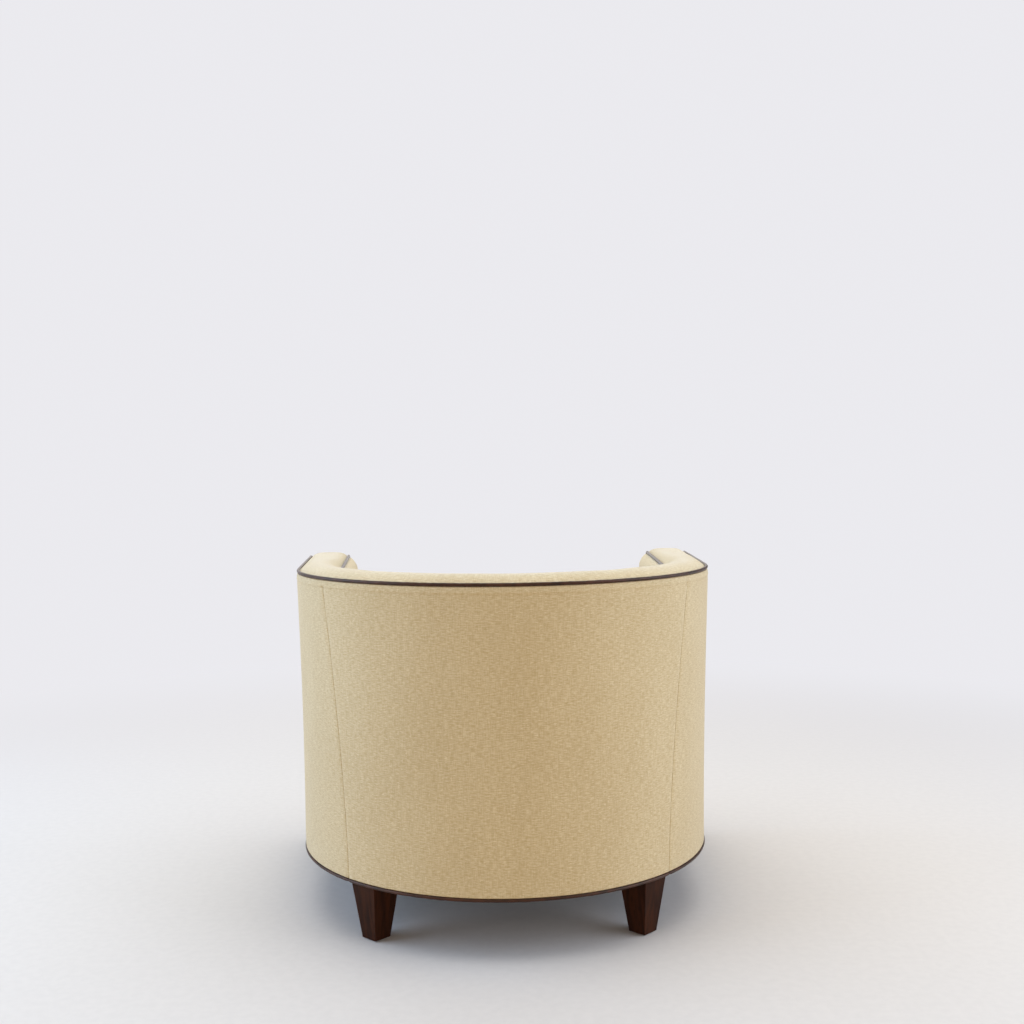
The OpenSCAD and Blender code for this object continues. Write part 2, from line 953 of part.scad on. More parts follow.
module side_base_piping(side) {
    arc = arc_stations(splay, base_seam_deg - 2 * seam_deg, base_welt_in, base_welt_z);
    front_run = base_welt_run - welt_r - 2 * gap;
    color(leather)
        mirror([side < 0 ? 1 : 0, 0, 0])
            tube(concat([[arm_point(1, base_welt_in, front_run, base_welt_z), outward(1)]], arc), welt_r);
}

module front_base_piping() {
    half = [
        [arm_point(-1, base_welt_in - welt_r, base_welt_run, base_welt_z), forward(-1)],
        [arm_point(-1, wall_t - welt_r, base_welt_run, base_welt_z), [0, -1, 0]],
        [[-(back_r - wall_t) * cos(splay) + welt_d, front_y - base_proud + welt_r, base_welt_z], [0, -1, 0]]
    ];
    color(leather)
        tube(reversed(concat(half, [for (s = reversed(half)) [[-s[0].x, s[0].y, s[0].z], [-s[1].x, s[1].y, 0]]])), welt_r);
}

module dust_cover() {
    color(black_cloth)
        difference() {
            translate([0, 0, frame_z - dust_t])
                linear_extrude(dust_t)
                    seat_plan(dust_in, front_rail_y + dust_in - frame_in);
            at_legs()
                translate([-leg_top / 2 - gap, -leg_top / 2 - gap, frame_z - dust_t - over])
                    cube([leg_top + 2 * gap, leg_top + 2 * gap, dust_t + 2 * over]);
        }
}

// Seat cushion

cushion_z = seat_z + welt_gap;
cushion_top_z = cushion_z + cushion_t;
cushion_front_y = front_y - cushion_proud;
cushion_edge = welt_d + welt_gap;
corner_min_r = 4;
arc_points = 24;
corner_points = 4;
crown_insets = [0, 8, 22, 45, 80, 130, 190, 250];
crown_reach = 110;

// Points of the cushion's plan, anticlockwise, inside its outline by depth
function cushion_outline(depth, z) =
    let(
        r = back_r - cushion_in - depth,
        corner_r = max(cushion_corner_r - depth, corner_min_r),
        corner_y = cushion_front_y + depth + corner_r,
        corner_x = (r - corner_r - (corner_y - arc_y) * sin(splay)) / cos(splay)
    )
    concat(
        [for (i = [0:arc_points]) let(a = splay + (180 - 2 * splay) * i / arc_points)
            [r * cos(a), arc_y + r * sin(a), z]],
        [for (i = [0:corner_points]) let(a = 180 - splay + (90 + splay) * i / corner_points)
            [corner_r * cos(a) - corner_x, corner_y + corner_r * sin(a), z]],
        [for (i = [0:corner_points]) let(a = -90 + (90 + splay) * i / corner_points)
            [corner_x + corner_r * cos(a), corner_y + corner_r * sin(a), z]]
    );
function cushion_rise(depth) = cushion_crown * (1 - pow(1 - min(depth / crown_reach, 1), 2));
function cushion_rings(depth, drop) =
    [for (e = crown_insets) cushion_outline(depth + e, cushion_top_z - welt_r + cushion_rise(e) - drop)];
function flat(points) = [for (p = points) [p.x, p.y]];

// The cover's top, from under its middle out to its edge and back over it
module cushion_top_cover() {
    color(linen)
        skin(concat(reversed(cushion_rings(cushion_edge, cloth_t)), cushion_rings(cushion_edge, 0)));
}

module cushion_core() {
    depth = border_in + cloth_in;
    low_z = cushion_z + cushion_edge;
    high_z = cushion_top_z - cushion_edge;
    color(foam)
        skin(concat(
            [cushion_outline(cushion_edge, cushion_z + cloth_in), cushion_outline(cushion_edge, low_z)],
            [cushion_outline(depth, low_z), cushion_outline(depth, high_z), cushion_outline(cushion_edge, high_z)],
            cushion_rings(cushion_edge, cloth_in)
        ));
}

module cushion_border() {
    color(linen)
        translate([0, 0, cushion_z + welt_d + gap])
            linear_extrude(cushion_t - 2 * welt_d - 2 * gap)
                difference() {
                    polygon(flat(cushion_outline(border_in, 0)));
                    polygon(flat(cushion_outline(border_in + cloth_t, 0)));
                }
}

module cushion_bottom_cover() {
    color(linen)
        translate([0, 0, cushion_z])
            linear_extrude(cloth_t)
                polygon(flat(cushion_outline(cushion_edge, 0)));
}

module cushion_piping() {
    outline = cushion_outline(welt_r, 0);
    middle = [0, arc_y, 0];
    color(leather)
        for (z = [cushion_z + welt_r, cushion_top_z - welt_r])
            tube([for (p = outline) [p + [0, 0, z], unit(p - middle)]], welt_r, closed = true);
}

front_rail();
back_rail();
side_rail(1);  // left_side_rail
side_rail(-1);  // right_side_rail
front_post(1);  // left_front_post
front_post(-1);  // right_front_post
uprights();
back_rim();
arm_rim(1);  // left_arm_rim
arm_rim(-1);  // right_arm_rim
seat_brace();
front_leg_blocks();
rear_leg_blocks();
at_front_leg(1) leg();  // front_left_leg
at_front_leg(-1) leg();  // front_right_leg
at_rear_leg(1) leg();  // rear_left_leg
at_rear_leg(-1) leg();  // rear_right_leg
leg_glides();
hanger_bolts();
tee_nuts();
long_webbing();
cross_webbing();
deck_pad();
deck_cover();
inside_hessian();
inside_back_pad();
inside_side_pad(1);  // inside_left_pad
inside_side_pad(-1);  // inside_right_pad
inside_back_cover();
inside_side_cover(1);  // inside_left_cover
inside_side_cover(-1);  // inside_right_cover
back_top_pad();
arm_pad(1);  // left_arm_pad
arm_pad(-1);  // right_arm_pad
top_border_cover();
outer_top_piping();
inner_top_piping();
outside_back_board();
outside_side_board(1);  // outside_left_board
outside_side_board(-1);  // outside_right_board
outside_back_wadding();
outside_side_wadding(1);  // outside_left_wadding
outside_side_wadding(-1);  // outside_right_wadding
outside_back_cover();
outside_side_cover(1);  // outside_left_cover
outside_side_cover(-1);  // outside_right_cover
edge_strip();
front_wadding();
front_border_cover();
back_base_piping();
side_base_piping(1);  // left_base_piping
side_base_piping(-1);  // right_base_piping
front_base_piping();
dust_cover();
cushion_core();
cushion_top_cover();
cushion_border();
cushion_bottom_cover();
cushion_piping();
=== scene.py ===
"""Dresses the low tub chair: linen panels, padded top and seat, leather piping, legs, light and camera.

Lengths are in metres in the frame's axes: the chair faces -Y, +Z is up and the sitter's left is +X. A place
on the walls is given by s, the distance along their outer face from the middle of the back, positive to the
left, by an inset from that face inward, and by its height.
"""
import json
import math
import random

import bmesh
import bpy
import numpy as np
from mathutils import Matrix, Vector, geometry

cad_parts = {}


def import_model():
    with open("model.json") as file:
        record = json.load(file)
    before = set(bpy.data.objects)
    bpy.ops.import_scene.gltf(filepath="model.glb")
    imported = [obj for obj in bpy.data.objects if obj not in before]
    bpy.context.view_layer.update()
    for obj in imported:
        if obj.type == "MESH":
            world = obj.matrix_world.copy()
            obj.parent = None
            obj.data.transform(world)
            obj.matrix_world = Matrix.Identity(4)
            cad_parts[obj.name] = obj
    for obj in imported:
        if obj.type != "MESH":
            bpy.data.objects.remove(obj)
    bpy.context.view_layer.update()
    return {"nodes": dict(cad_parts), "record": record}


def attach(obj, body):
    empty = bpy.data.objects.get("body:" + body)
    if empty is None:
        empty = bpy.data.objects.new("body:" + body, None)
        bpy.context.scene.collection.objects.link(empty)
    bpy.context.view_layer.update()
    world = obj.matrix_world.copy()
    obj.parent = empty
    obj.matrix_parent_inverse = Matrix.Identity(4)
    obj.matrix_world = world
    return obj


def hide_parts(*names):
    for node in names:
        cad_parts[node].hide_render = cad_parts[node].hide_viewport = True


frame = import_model()

# Sizes of the chair, as built
MM = 0.001
BACK_R = 405 * MM
DEPTH = 780 * MM
SPLAY = math.radians(3.5)
BODY_H = 535 * MM
FLARE = 10 * MM
FLARE_POWER = 1.8
WALL_T = 90 * MM
CROWN = 15 * MM
CROWN_POWER = 2.4
ARM_CROWN_SHARE = 0.6
ARM_CROWN_POWER = 4.5
ARM_EASE = 220 * MM
SEAM_TOP_X = 333 * MM
SEAM_LOW_X = 288 * MM
SEAM_POWER = 1.5
LEG_H = 105 * MM
WELT_D = 6 * MM
WELT_GAP = 0.3 * MM
GAP = 0.2 * MM
CLOTH_T = 1.5 * MM
BOARD_IN = 12.9 * MM
FRAME_IN = 14.6 * MM
RIM_IN = 60.8 * MM
POST_IN = 80.8 * MM
HESSIAN_IN = 42.3 * MM
PAD_T = 12 * MM
BEND_R = 20 * MM
SWELL = 17 * MM
SWELL_H = 28 * MM
TAPER_LEN = 30 * MM
INNER_SEAM = math.radians(40)
RAIL_H = 150 * MM
RAIL_T = 26 * MM
DECK_IN = 108 * MM
CUSHION_IN = 108 * MM
CUSHION_T = 115 * MM
CUSHION_CROWN = 16 * MM
CORNER_R = 28 * MM
POST_T = 26 * MM
FRONT_SET = 4 * MM
FRONT_WADDING_T = 8 * MM
BASE_PROUD = 1 * MM
WEB_W = 60 * MM
WEB_T = 2 * MM
WEB_PITCH = 110 * MM

# Places that follow from them
WELT_R = WELT_D / 2
SHOULDER = WELT_R + WELT_GAP
ARC_Y = DEPTH / 2 - BACK_R
ARC_HALF = BACK_R * (math.pi / 2 - SPLAY)
LOW = LEG_H + WELT_D
SKIN_LOW = LOW + GAP
TOP = LOW + BODY_H
SKIN_TOP = TOP - SHOULDER - GAP
ARM = (ARC_Y + (BACK_R - WALL_T / 2) * math.sin(SPLAY) + DEPTH / 2) / math.cos(SPLAY) - CROWN
RIM_LOW = TOP - 32.2 * MM
BEND_Z = TOP - BEND_R
BEND_RUN = ARM - BEND_R
POST_RUN = ARM - PAD_T - GAP
POST_BACK_RUN = POST_RUN - POST_T
FRONT_Y = CROWN + FRONT_SET - DEPTH / 2
FRONT_RAIL_Y = FRONT_Y + CLOTH_T + FRONT_WADDING_T
BORDER_RUN = (ARC_Y + (BACK_R - WALL_T) * math.sin(SPLAY) - FRONT_Y - CLOTH_T) / math.cos(SPLAY)
RAIL_TOP = LEG_H + RAIL_H
DECK_LOW = RAIL_TOP + 4.2 * MM
DECK_TOP = RAIL_TOP + 45.5 * MM
CUSHION_Z = DECK_TOP + WELT_GAP
CUSHION_TOP = CUSHION_Z + CUSHION_T
CUSHION_FRONT = FRONT_Y - 2 * MM
BASE_WELT_IN = FRAME_IN - WELT_R - GAP
BASE_WELT_Z = LOW - WELT_R
BASE_SEAM = math.acos(SEAM_LOW_X / (BACK_R - FLARE))
BASE_RUN = ARM + BASE_PROUD - WELT_R
BASE_CORNER_X = (BACK_R - WALL_T) * math.cos(SPLAY) - WELT_D
INNER_SEAM_S = BACK_R * (math.pi / 2 - INNER_SEAM)
FIRST_CROSS_Y = FRONT_RAIL_Y + RAIL_T + 14 * MM + WEB_W / 2

# How finely round and bent pieces are divided
WELT_SIDES = 16
WELT_STEP = 4.5 * MM


# Places on the walls


def plan(s, inset, z):
    """Points at distances s along the wall's outer face, at an inset and a height."""
    s, inset, z = np.broadcast_arrays(s, inset, z)
    side = np.where(s < 0, -1.0, 1.0)
    bend = np.minimum(abs(s), ARC_HALF) / BACK_R
    run = np.maximum(abs(s) - ARC_HALF, 0)
    r = BACK_R - inset
    x = side * (r * np.sin(bend) + run * math.sin(SPLAY))
    y = ARC_Y + r * np.cos(bend) - run * math.cos(SPLAY)
    return np.stack([x, y, z], -1)


def half_width(r, y):
    """Half the width between the arms at y, inside a wall whose back has radius r."""
    return (r + (ARC_Y - y) * math.sin(SPLAY)) / math.cos(SPLAY)


def outward(s):
    """The level direction out of the wall at a distance s along it."""
    side = np.where(s < 0, -1.0, 1.0)
    bend = np.minimum(abs(s), ARC_HALF) / BACK_R
    return np.stack([side * np.sin(bend), np.cos(bend), 0 * bend], -1)


def flare_in(z):
    """How far the outer face has drawn in from the top edge at a height."""
    level = np.clip((z - LOW) / BODY_H, 0, 1)
    return FLARE * (1 - level**FLARE_POWER)


def seam_s(z):
    """Where the rear seam lies at a height, as a distance along the wall."""
    level = np.clip((z - LOW) / BODY_H, 0, 1)
    x = SEAM_LOW_X + (SEAM_TOP_X - SEAM_LOW_X) * level**SEAM_POWER
    return BACK_R * np.arcsin(x / (BACK_R - flare_in(z)))


def front_s(z):
    """Where an arm's panels end at a height, under the piping of the arm's front and its rounded corner."""
    r = BEND_R - SHOULDER
    rise = np.clip(z - BEND_Z, 0, r)
    return ARC_HALF + BEND_RUN + np.sqrt(r * r - rise * rise)


def crown(u, s, angle):
    """Rise of the padded top at a share u of its width.

    It is full over the back and down the arms' fronts, which start at an angle of their bend, and lower and
    flatter along the arms.
    """
    t = min(max((s - ARC_HALF) / ARM_EASE, 0), 1)
    t = t * t * (3 - 2 * t) * math.cos(angle)
    power = CROWN_POWER + (ARM_CROWN_POWER - CROWN_POWER) * t
    return CROWN * (1 - (1 - ARM_CROWN_SHARE) * t) * (1 - abs(2 * u - 1) ** power)


def inner_face(z):
    """How far in from the outer face the inside's padding reaches at a height."""
    u = np.minimum(1, (TOP - z) / SWELL_H)
    return WALL_T + SWELL * (1 - (1 - u) ** 2)


def hump(distance, width):
    """A smooth bump over a distance, 1 high in its middle."""
    return np.exp(-((distance / width) ** 2))


def covered(distance, width):
    """How much of a width a distance has covered, from 0 to 1."""
    return np.clip(distance / width, 0, 1)


def spaced(length, step, edges=(0.7, 1.6, 3, 5.5, 9)):
    """Fractions of a length, close together towards both ends; edges are in millimetres."""
    near = [e * MM for e in edges]
    inside = list(np.linspace(near[-1], length - near[-1], max(2, round(length / step))))
    steps = [0] + near[:-1] + inside + [length - e for e in reversed(near[:-1])] + [length]
    return np.array(steps) / length


def ripple(a, b, size, seed):
    """A smooth unevenness over two distances, of about 1 at most, with bumps of about a size."""
    draw = random.Random(seed)
    total = 0
    for _ in range(7):
        angle = draw.uniform(0, 2 * math.pi)
        turns = 2 * math.pi / (size * draw.uniform(0.7, 1.8))
        start = draw.uniform(0, 6.28)
        total = total + np.sin((a * math.cos(angle) + b * math.sin(angle)) * turns + start)
    return total / 3.2


# Making of meshes


def add_mesh(name, points, faces, uv=None, sharp=35):
    """An object from points and faces; uv is each point's place in metres along the cloth's threads."""
    mesh = bpy.data.meshes.new(name)
    mesh.from_pydata([tuple(map(float, p)) for p in points], [], [tuple(map(int, f)) for f in faces])
    mesh.validate()
    if uv is not None:
        layer = mesh.uv_layers.new(name="cloth")
        loops = np.zeros(len(mesh.loops), np.int32)
        mesh.loops.foreach_get("vertex_index", loops)
        layer.uv.foreach_set("vector", np.asarray(uv, np.float32)[loops].ravel())
    mesh.update()
    mesh.shade_smooth()
    mesh.set_sharp_from_angle(angle=math.radians(sharp))
    piece = bpy.data.objects.new(name, mesh)
    bpy.context.scene.collection.objects.link(piece)
    return piece


def closed_mesh(*args, **settings):
    """An object whose faces all look outward."""
    piece = add_mesh(*args, **settings)
    work = bmesh.new()
    work.from_mesh(piece.data)
    bmesh.ops.recalc_face_normals(work, faces=work.faces)
    work.to_mesh(piece.data)
    work.free()
    return piece


def grid_faces(rows, columns, first=0, around=False, ends_meet=False):
    """Quads of a grid of points; around joins the last column to the first, and ends_meet the last row."""
    faces = []
    for i in range(rows if ends_meet else rows - 1):
        for j in range(columns if around else columns - 1):
            a, b = i * columns + j, i * columns + (j + 1) % columns
            c, d = ((i + 1) % rows) * columns + (j + 1) % columns, ((i + 1) % rows) * columns + j
            faces.append((first + a, first + b, first + c, first + d))
    return faces


def two_sided(size, faces, rim):
    """Faces of a front, those of a back whose points come after it, and the band between their rims."""
    faces = faces + [tuple(size + k for k in reversed(f)) for f in faces]
    return faces + [(b, a, size + a, size + b) for a, b in rim]


def slab(name, front, back, uv):
    """A closed solid between two grids of points of the same size; front is its seen side."""
    rows, columns = front.shape[:2]
    rim = list(range(columns)) + [i * columns + columns - 1 for i in range(1, rows)]
    rim += [(rows - 1) * columns + j for j in range(columns - 2, -1, -1)]
    rim += [i * columns for i in range(rows - 2, 0, -1)]
    faces = two_sided(rows * columns, grid_faces(rows, columns), zip(rim, rim[1:] + rim[:1]))
    points = np.concatenate([front.reshape(-1, 3), back.reshape(-1, 3)])
    return closed_mesh(name, points, faces, np.concatenate([uv.reshape(-1, 2)] * 2))


def length_along(points):
    """The distance of each point of a line from its start."""
    steps = np.linalg.norm(np.diff(points, axis=0), axis=1)
    return np.concatenate([[0], np.cumsum(steps)])


def unit(vectors):
    return vectors / np.linalg.norm(vectors, axis=1)[:, None]


def tube(name, path, across, shape, closed=False):
    """Piping along a path; across is a direction square to it at each point, shape its radius factors."""
    path = np.asarray(path, float)
    n, sides = shape.shape
    if closed:
        ahead = unit(np.roll(path, -1, 0) - np.roll(path, 1, 0))
    else:
        ahead = unit(np.gradient(path, axis=0))
    across = unit(across - (across * ahead).sum(1)[:, None] * ahead)
    over = np.cross(ahead, across)
    turn = np.arange(sides) * 2 * math.pi / sides
    round_it = np.cos(turn)[None, :, None] * across[:, None] + np.sin(turn)[None, :, None] * over[:, None]
    points = (path[:, None] + WELT_R * shape[..., None] * round_it).reshape(-1, 3)
    along = length_along(path)[:, None]
    uv = np.stack(np.broadcast_arrays(along, (turn * WELT_R)[None]), -1).reshape(-1, 2)
    faces = grid_faces(n, sides, around=True, ends_meet=closed)
    if not closed:
        faces += [tuple(range(sides)), tuple(reversed(range((n - 1) * sides, n * sides)))]
    return closed_mesh(name, points, faces, uv, sharp=50)


def evenly(line, step=None, count=None, closed=False):
    """Points at even distances along a line, by a step or a count of stretches."""
    line = np.asarray(line, float)
    if closed:
        line = np.concatenate([line, line[:1]])
    at = length_along(line)
    want = np.linspace(0, at[-1], (count or max(3, round(at[-1] / step))) + 1)
    if closed:
        want = want[:-1]
    return np.stack([np.interp(want, at, line[:, k]) for k in range(line.shape[1])], 1)


def get_points(mesh):
    points = np.zeros(len(mesh.vertices) * 3)
    mesh.vertices.foreach_get("co", points)
    return points.reshape(-1, 3)


def set_points(piece, points):
    piece.data.vertices.foreach_set("co", np.asarray(points, np.float32).ravel())
    piece.data.update()


CLOTH = {
    "quality": 5,
    "mass": 0.3,
    "tension_stiffness": 15,
    "compression_stiffness": 15,
    "shear_stiffness": 8,
    "bending_stiffness": 0.6,
    "use_pressure": True,
}


def inflate(piece, pinned, pressure, cap, looser, frames=16):
    """Swells a closed mesh as simulated cloth; pinned is each point's weight, and none moves past cap."""
    rest = get_points(piece.data)
    group = piece.vertex_groups.new(name="pinned")
    pinned = np.round(pinned, 2)
    for level in np.unique(pinned):
        if level > 0:
            group.add([int(i) for i in np.nonzero(pinned == level)[0]], float(level), "REPLACE")
    cloth = piece.modifiers.new("cloth", "CLOTH")
    for key, value in CLOTH.items():
        setattr(cloth.settings, key, value)
    cloth.settings.uniform_pressure_force = pressure
    cloth.settings.shrink_min = -looser
    cloth.settings.effector_weights.gravity = 0
    cloth.settings.vertex_group_mass = "pinned"
    cloth.collision_settings.use_collision = False
    cloth.point_cache.frame_start = 1
    cloth.point_cache.frame_end = frames
    for number in range(1, frames + 1):
        bpy.context.scene.frame_set(number)
    seen = piece.evaluated_get(bpy.context.evaluated_depsgraph_get())
    move = get_points(seen.data) - rest
    far = np.linalg.norm(move, axis=1)
    move *= np.minimum(1, cap / np.maximum(far, 1e-9))[:, None]
    piece.modifiers.remove(cloth)
    piece.vertex_groups.remove(group)
    bpy.context.scene.frame_set(1)
    set_points(piece, rest + move)


# Materials


class Nodes:
    """Builds the nodes of a material or world; what is given for an input sets it or is linked to it."""

    def __init__(self, owner):
        owner.use_nodes = True
        self.owner, self.tree = owner, owner.node_tree

    def put(self, socket, value):
        if isinstance(value, bpy.types.NodeSocket):
            self.tree.links.new(value, socket)
        else:
            socket.default_value = value

    def add(self, kind, inputs=None, output=0, **settings):
        node = self.tree.nodes.new("ShaderNode" + kind)
        for key, value in settings.items():
            setattr(node, key, value)
        for key, value in (inputs or {}).items():
            self.put(node.inputs[key], value)
        return node.outputs[output]

    def math(self, operation, a, b=0.0, clamp=False):
        return self.add("Math", {0: a, 1: b}, operation=operation, use_clamp=clamp)

    def times(self, a, b):
        return self.math("MULTIPLY", a, b)

    def plus(self, a, b):
        return self.math("ADD", a, b)

    def part(self, vector, axis):
        return self.add("SeparateXYZ", {"Vector": vector}, axis)

    def noise(self, vector, scale, detail=2.0, roughness=0.5):
        """Noise with a scale for each axis, over as many dimensions as there are scales."""
        vector = self.add("Mapping", {"Vector": vector, "Scale": (*scale, 1.0)[:3]})
        inputs = {"Vector": vector, "Scale": 1.0, "Detail": detail, "Roughness": roughness}
        return self.add("TexNoise", inputs, noise_dimensions=f"{len(scale)}D")

    def ramp(self, value, low, high, to_low=0.0, to_high=1.0):
        inputs = {"Value": value, "From Min": low, "From Max": high, "To Min": to_low, "To Max": to_high}
        return self.add("MapRange", inputs)

    def mix(self, factor, a, b):
        return self.add("Mix", {0: factor, 6: a, 7: b}, 2, data_type="RGBA")

    def mix_shaders(self, factor, a, b):
        return self.add("MixShader", {0: factor, 1: a, 2: b})

    def threads(self, place, pitch, wander=0.0):
        """A plain weave: its threads' crossings, over and under, and where threads are rather than gaps."""
        places = (self.part(place, 0), self.plus(self.part(place, 1), wander))
        warp, weft = [self.math("SINE", self.times(at, math.pi / pitch)) for at in places]
        return self.times(warp, weft), self.times(self.math("ABSOLUTE", warp), self.math("ABSOLUTE", weft))


def place_in(n):
    """The place in the object's own axes."""
    return n.add("TexCoord", output=3)


def place_on(n):
    """The place along the cloth's threads."""
    return n.add("UVMap", uv_map="cloth")


def finished(n, base, rough, relief, numbers=None):
    """The material with its colour, roughness, relief as (height, strength, depth) and numbers set."""
    shader = n.tree.nodes["Principled BSDF"]
    n.put(shader.inputs["Base Color"], base)
    n.put(shader.inputs["Roughness"], rough)
    bump = dict(zip(("Height", "Strength", "Distance"), relief))
    n.put(shader.inputs["Normal"], n.add("Bump", bump))
    for key, value in (numbers or {}).items():
        shader.inputs[key].default_value = value
    return n.owner


def colour(r, g, b):
    """A colour from its screen values, 0 to 255."""
    linear = [((c / 255 + 0.055) / 1.055) ** 2.4 if c > 10 else c / 255 / 12.92 for c in (r, g, b)]
    return (*linear, 1.0)


def linen():
    """Slubby plain weave: fine threads both ways, and short pale slubs along the weft."""
    n = Nodes(bpy.data.materials.new("linen"))
    place = place_on(n)
    dark, middle, light = colour(184, 162, 118), colour(212, 194, 152), colour(236, 225, 196)
    wander = n.times(n.math("SUBTRACT", n.noise(place, (25, 25)), 0.5), 4 * MM)
    crossing, thread = n.threads(place, 1.25 * MM, wander)
    weft = n.noise(place, (85, 600), 2, 0.6)
    warp = n.noise(place, (600, 55), 2, 0.6)
    slub = n.ramp(n.noise(place, (120, 620), 1), 0.63, 0.75)
    tone = n.plus(n.times(weft, 0.62), n.times(warp, 0.38))
    base = n.mix(0.46, middle, n.mix(n.ramp(tone, 0.36, 0.64), dark, light))
    base = n.mix(n.ramp(n.noise(place, (9, 5)), 0.3, 0.7, 0.0, 0.14), base, dark)
    base = n.mix(n.times(slub, 0.6), base, light)
    # Painted shade: the gaps between the threads are darkened towards a deep brown, as if shade lay in them.
    base = n.mix(n.ramp(thread, 0.0, 0.22, 0.4, 0.0), base, colour(114, 97, 65))
    height = n.plus(n.times(crossing, 0.3), n.times(thread, 0.35))
    height = n.plus(n.plus(height, n.times(weft, 0.8)), n.times(slub, 0.7))
    soft = {"Sheen Weight": 0.4, "Sheen Roughness": 0.5, "Specular IOR Level": 0.25}
    return finished(n, base, n.ramp(weft, 0.3, 0.7, 0.93, 0.82), (height, 0.5, 0.35 * MM), soft)


def leather():
    """Glossy dark brown leather with a fine grain, worn a little lighter on its ridges."""
    n = Nodes(bpy.data.materials.new("leather"))
    place = place_in(n)
    grain = n.add("TexVoronoi", {"Vector": place, "Scale": 1500.0}, feature="DISTANCE_TO_EDGE")
    crease = n.noise(place, (160, 160, 160), 4, 0.65)
    tone = n.noise(place, (45, 45, 45), 3)
    base = n.mix(n.ramp(tone, 0.35, 0.68), colour(35, 17, 11), colour(68, 38, 26))
    base = n.mix(n.ramp(crease, 0.56, 0.74, 0.0, 0.35), base, colour(100, 67, 53))
    height = n.plus(n.ramp(grain, 0.0, 0.08), n.times(crease, 1.6))
    gloss = {"Specular IOR Level": 0.36, "Coat Weight": 0.04, "Coat Roughness": 0.3}
    gloss["Specular Tint"] = (1.0, 0.8, 0.66, 1.0)
    return finished(n, base, n.ramp(crease, 0.3, 0.75, 0.3, 0.46), (height, 0.35, 0.15 * MM), gloss)


def wood(name, dark, light, waves, rough, along, gloss):
    """Straight-grained wood; along is the axis that the grain follows."""
    n = Nodes(bpy.data.materials.new(name))
    place = place_in(n)
    bands = n.noise(place, [1.6 if axis == along else 26 for axis in range(3)], 4, 0.6)
    pores = n.noise(place, [14 if axis == along else 420 for axis in range(3)])
    pores = n.ramp(pores, 0.56, 0.7)
    wave = n.math("SINE", n.times(bands, waves))
    tone = n.plus(n.times(wave, 0.25), n.times(bands, 0.9))
    base = n.mix(n.ramp(tone, 0.15, 0.85), colour(*dark), colour(*light))
    base = n.mix(n.times(pores, 0.6), base, colour(*[c * 0.55 for c in dark]))
    height = n.math("SUBTRACT", n.times(bands, 0.4), pores)
    numbers = {"Specular IOR Level": gloss}
    return finished(n, base, n.ramp(bands, 0.3, 0.7, *rough), (height, 0.25, 0.12 * MM), numbers)


def plywood():
    """Layers of veneer seen at the edge, and plain grain on the face."""
    n = Nodes(bpy.data.materials.new("plywood"))
    place = place_in(n)
    layer = n.math("SINE", n.times(n.part(place, 2), math.pi / (1.6 * MM)))
    grain = n.noise(place, (8, 130, 60), 4, 0.6)
    base = n.mix(n.ramp(grain, 0.35, 0.65), colour(186, 150, 102), colour(216, 184, 136))
    base = n.mix(n.ramp(layer, -0.2, 0.2, 0.0, 0.35), base, colour(140, 100, 62))
    return finished(n, base, n.ramp(grain, 0.3, 0.7, 0.6, 0.8), (grain, 0.2, 0.2 * MM))


def speckled(name, dark, light, size, rough=(0.8, 0.95), depth=0.2 * MM):
    """Fibres or cells without a direction, for card, thread, nylon and felt-like cloth."""
    n = Nodes(bpy.data.materials.new(name))
    place = place_in(n)
    cells = n.noise(place, (size, size, size), 4, 0.65)
    tone = n.plus(n.times(cells, 0.7), n.times(n.noise(place, (18, 18, 18)), 0.3))
    base = n.mix(n.ramp(tone, 0.35, 0.65), colour(*dark), colour(*light))
    return finished(n, base, n.ramp(cells, 0.3, 0.7, *rough), (cells, 0.4, depth))


def open_weave(name, dark, light, pitch, stripe=None):
    """A coarse plain weave, for hessian and webbing; stripe is a colour for two lines along it."""
    n = Nodes(bpy.data.materials.new(name))
    place = place_on(n)
    crossing, thread = n.threads(place, pitch)
    fibre = n.noise(place, (300, 300), 3, 0.6)
    base = n.mix(n.ramp(fibre, 0.35, 0.65), colour(*dark), colour(*light))
    # Painted shade: the gaps between the threads are darkened to a shadowed copy of the dark colour.
    base = n.mix(n.ramp(thread, 0.0, 0.3, 0.75, 0.0), base, colour(*[c * 0.4 for c in dark]))
    if stripe:
        from_middle = n.math("ABSOLUTE", n.part(place, 1))
        from_line = n.math("ABSOLUTE", n.math("SUBTRACT", from_middle, 20 * MM))
        base = n.mix(n.ramp(from_line, 1.5 * MM, 2.5 * MM, 0.85, 0.0), base, colour(*stripe))
    height = n.plus(crossing, n.times(thread, 0.8))
    return finished(n, base, n.ramp(fibre, 0.3, 0.7, 0.8, 0.95), (height, 0.6, 0.5 * MM))


def zinc_steel():
    n = Nodes(bpy.data.materials.new("zinc_steel"))
    patch = n.noise(place_in(n), (240, 240, 240), 3)
    base = n.mix(n.ramp(patch, 0.35, 0.65), colour(176, 180, 186), colour(206, 208, 210))
    return finished(n, base, n.ramp(patch, 0.3, 0.7, 0.25, 0.42), (patch, 0.1, 0.1 * MM), {"Metallic": 1.0})


LINEN = linen()
LEATHER = leather()
WALNUT = wood("walnut", (38, 17, 8), (64, 32, 15), 30, (0.45, 0.55), 2, 0.1)
BEECH = [
    wood(name, (196, 158, 108), (222, 190, 144), 24, (0.55, 0.7), axis, 0.4)
    for axis, name in enumerate(("beech_x", "beech_y", "beech_z"))
]
PLYWOOD = plywood()
CARD = speckled("pressed_card", (140, 112, 78), (172, 142, 104), 500)
FELT = speckled("black_dust_cloth", (20, 19, 18), (40, 38, 36), 900)
HESSIAN = open_weave("hessian", (126, 100, 62), (168, 140, 96), 2.4 * MM)
WEBBING = open_weave("elastic_webbing", (52, 44, 36), (84, 72, 60), 1.8 * MM, (150, 40, 34))
STEEL = zinc_steel()
NYLON = speckled("black_nylon", (18, 18, 18), (32, 32, 32), 700, (0.4, 0.55), 0.05 * MM)
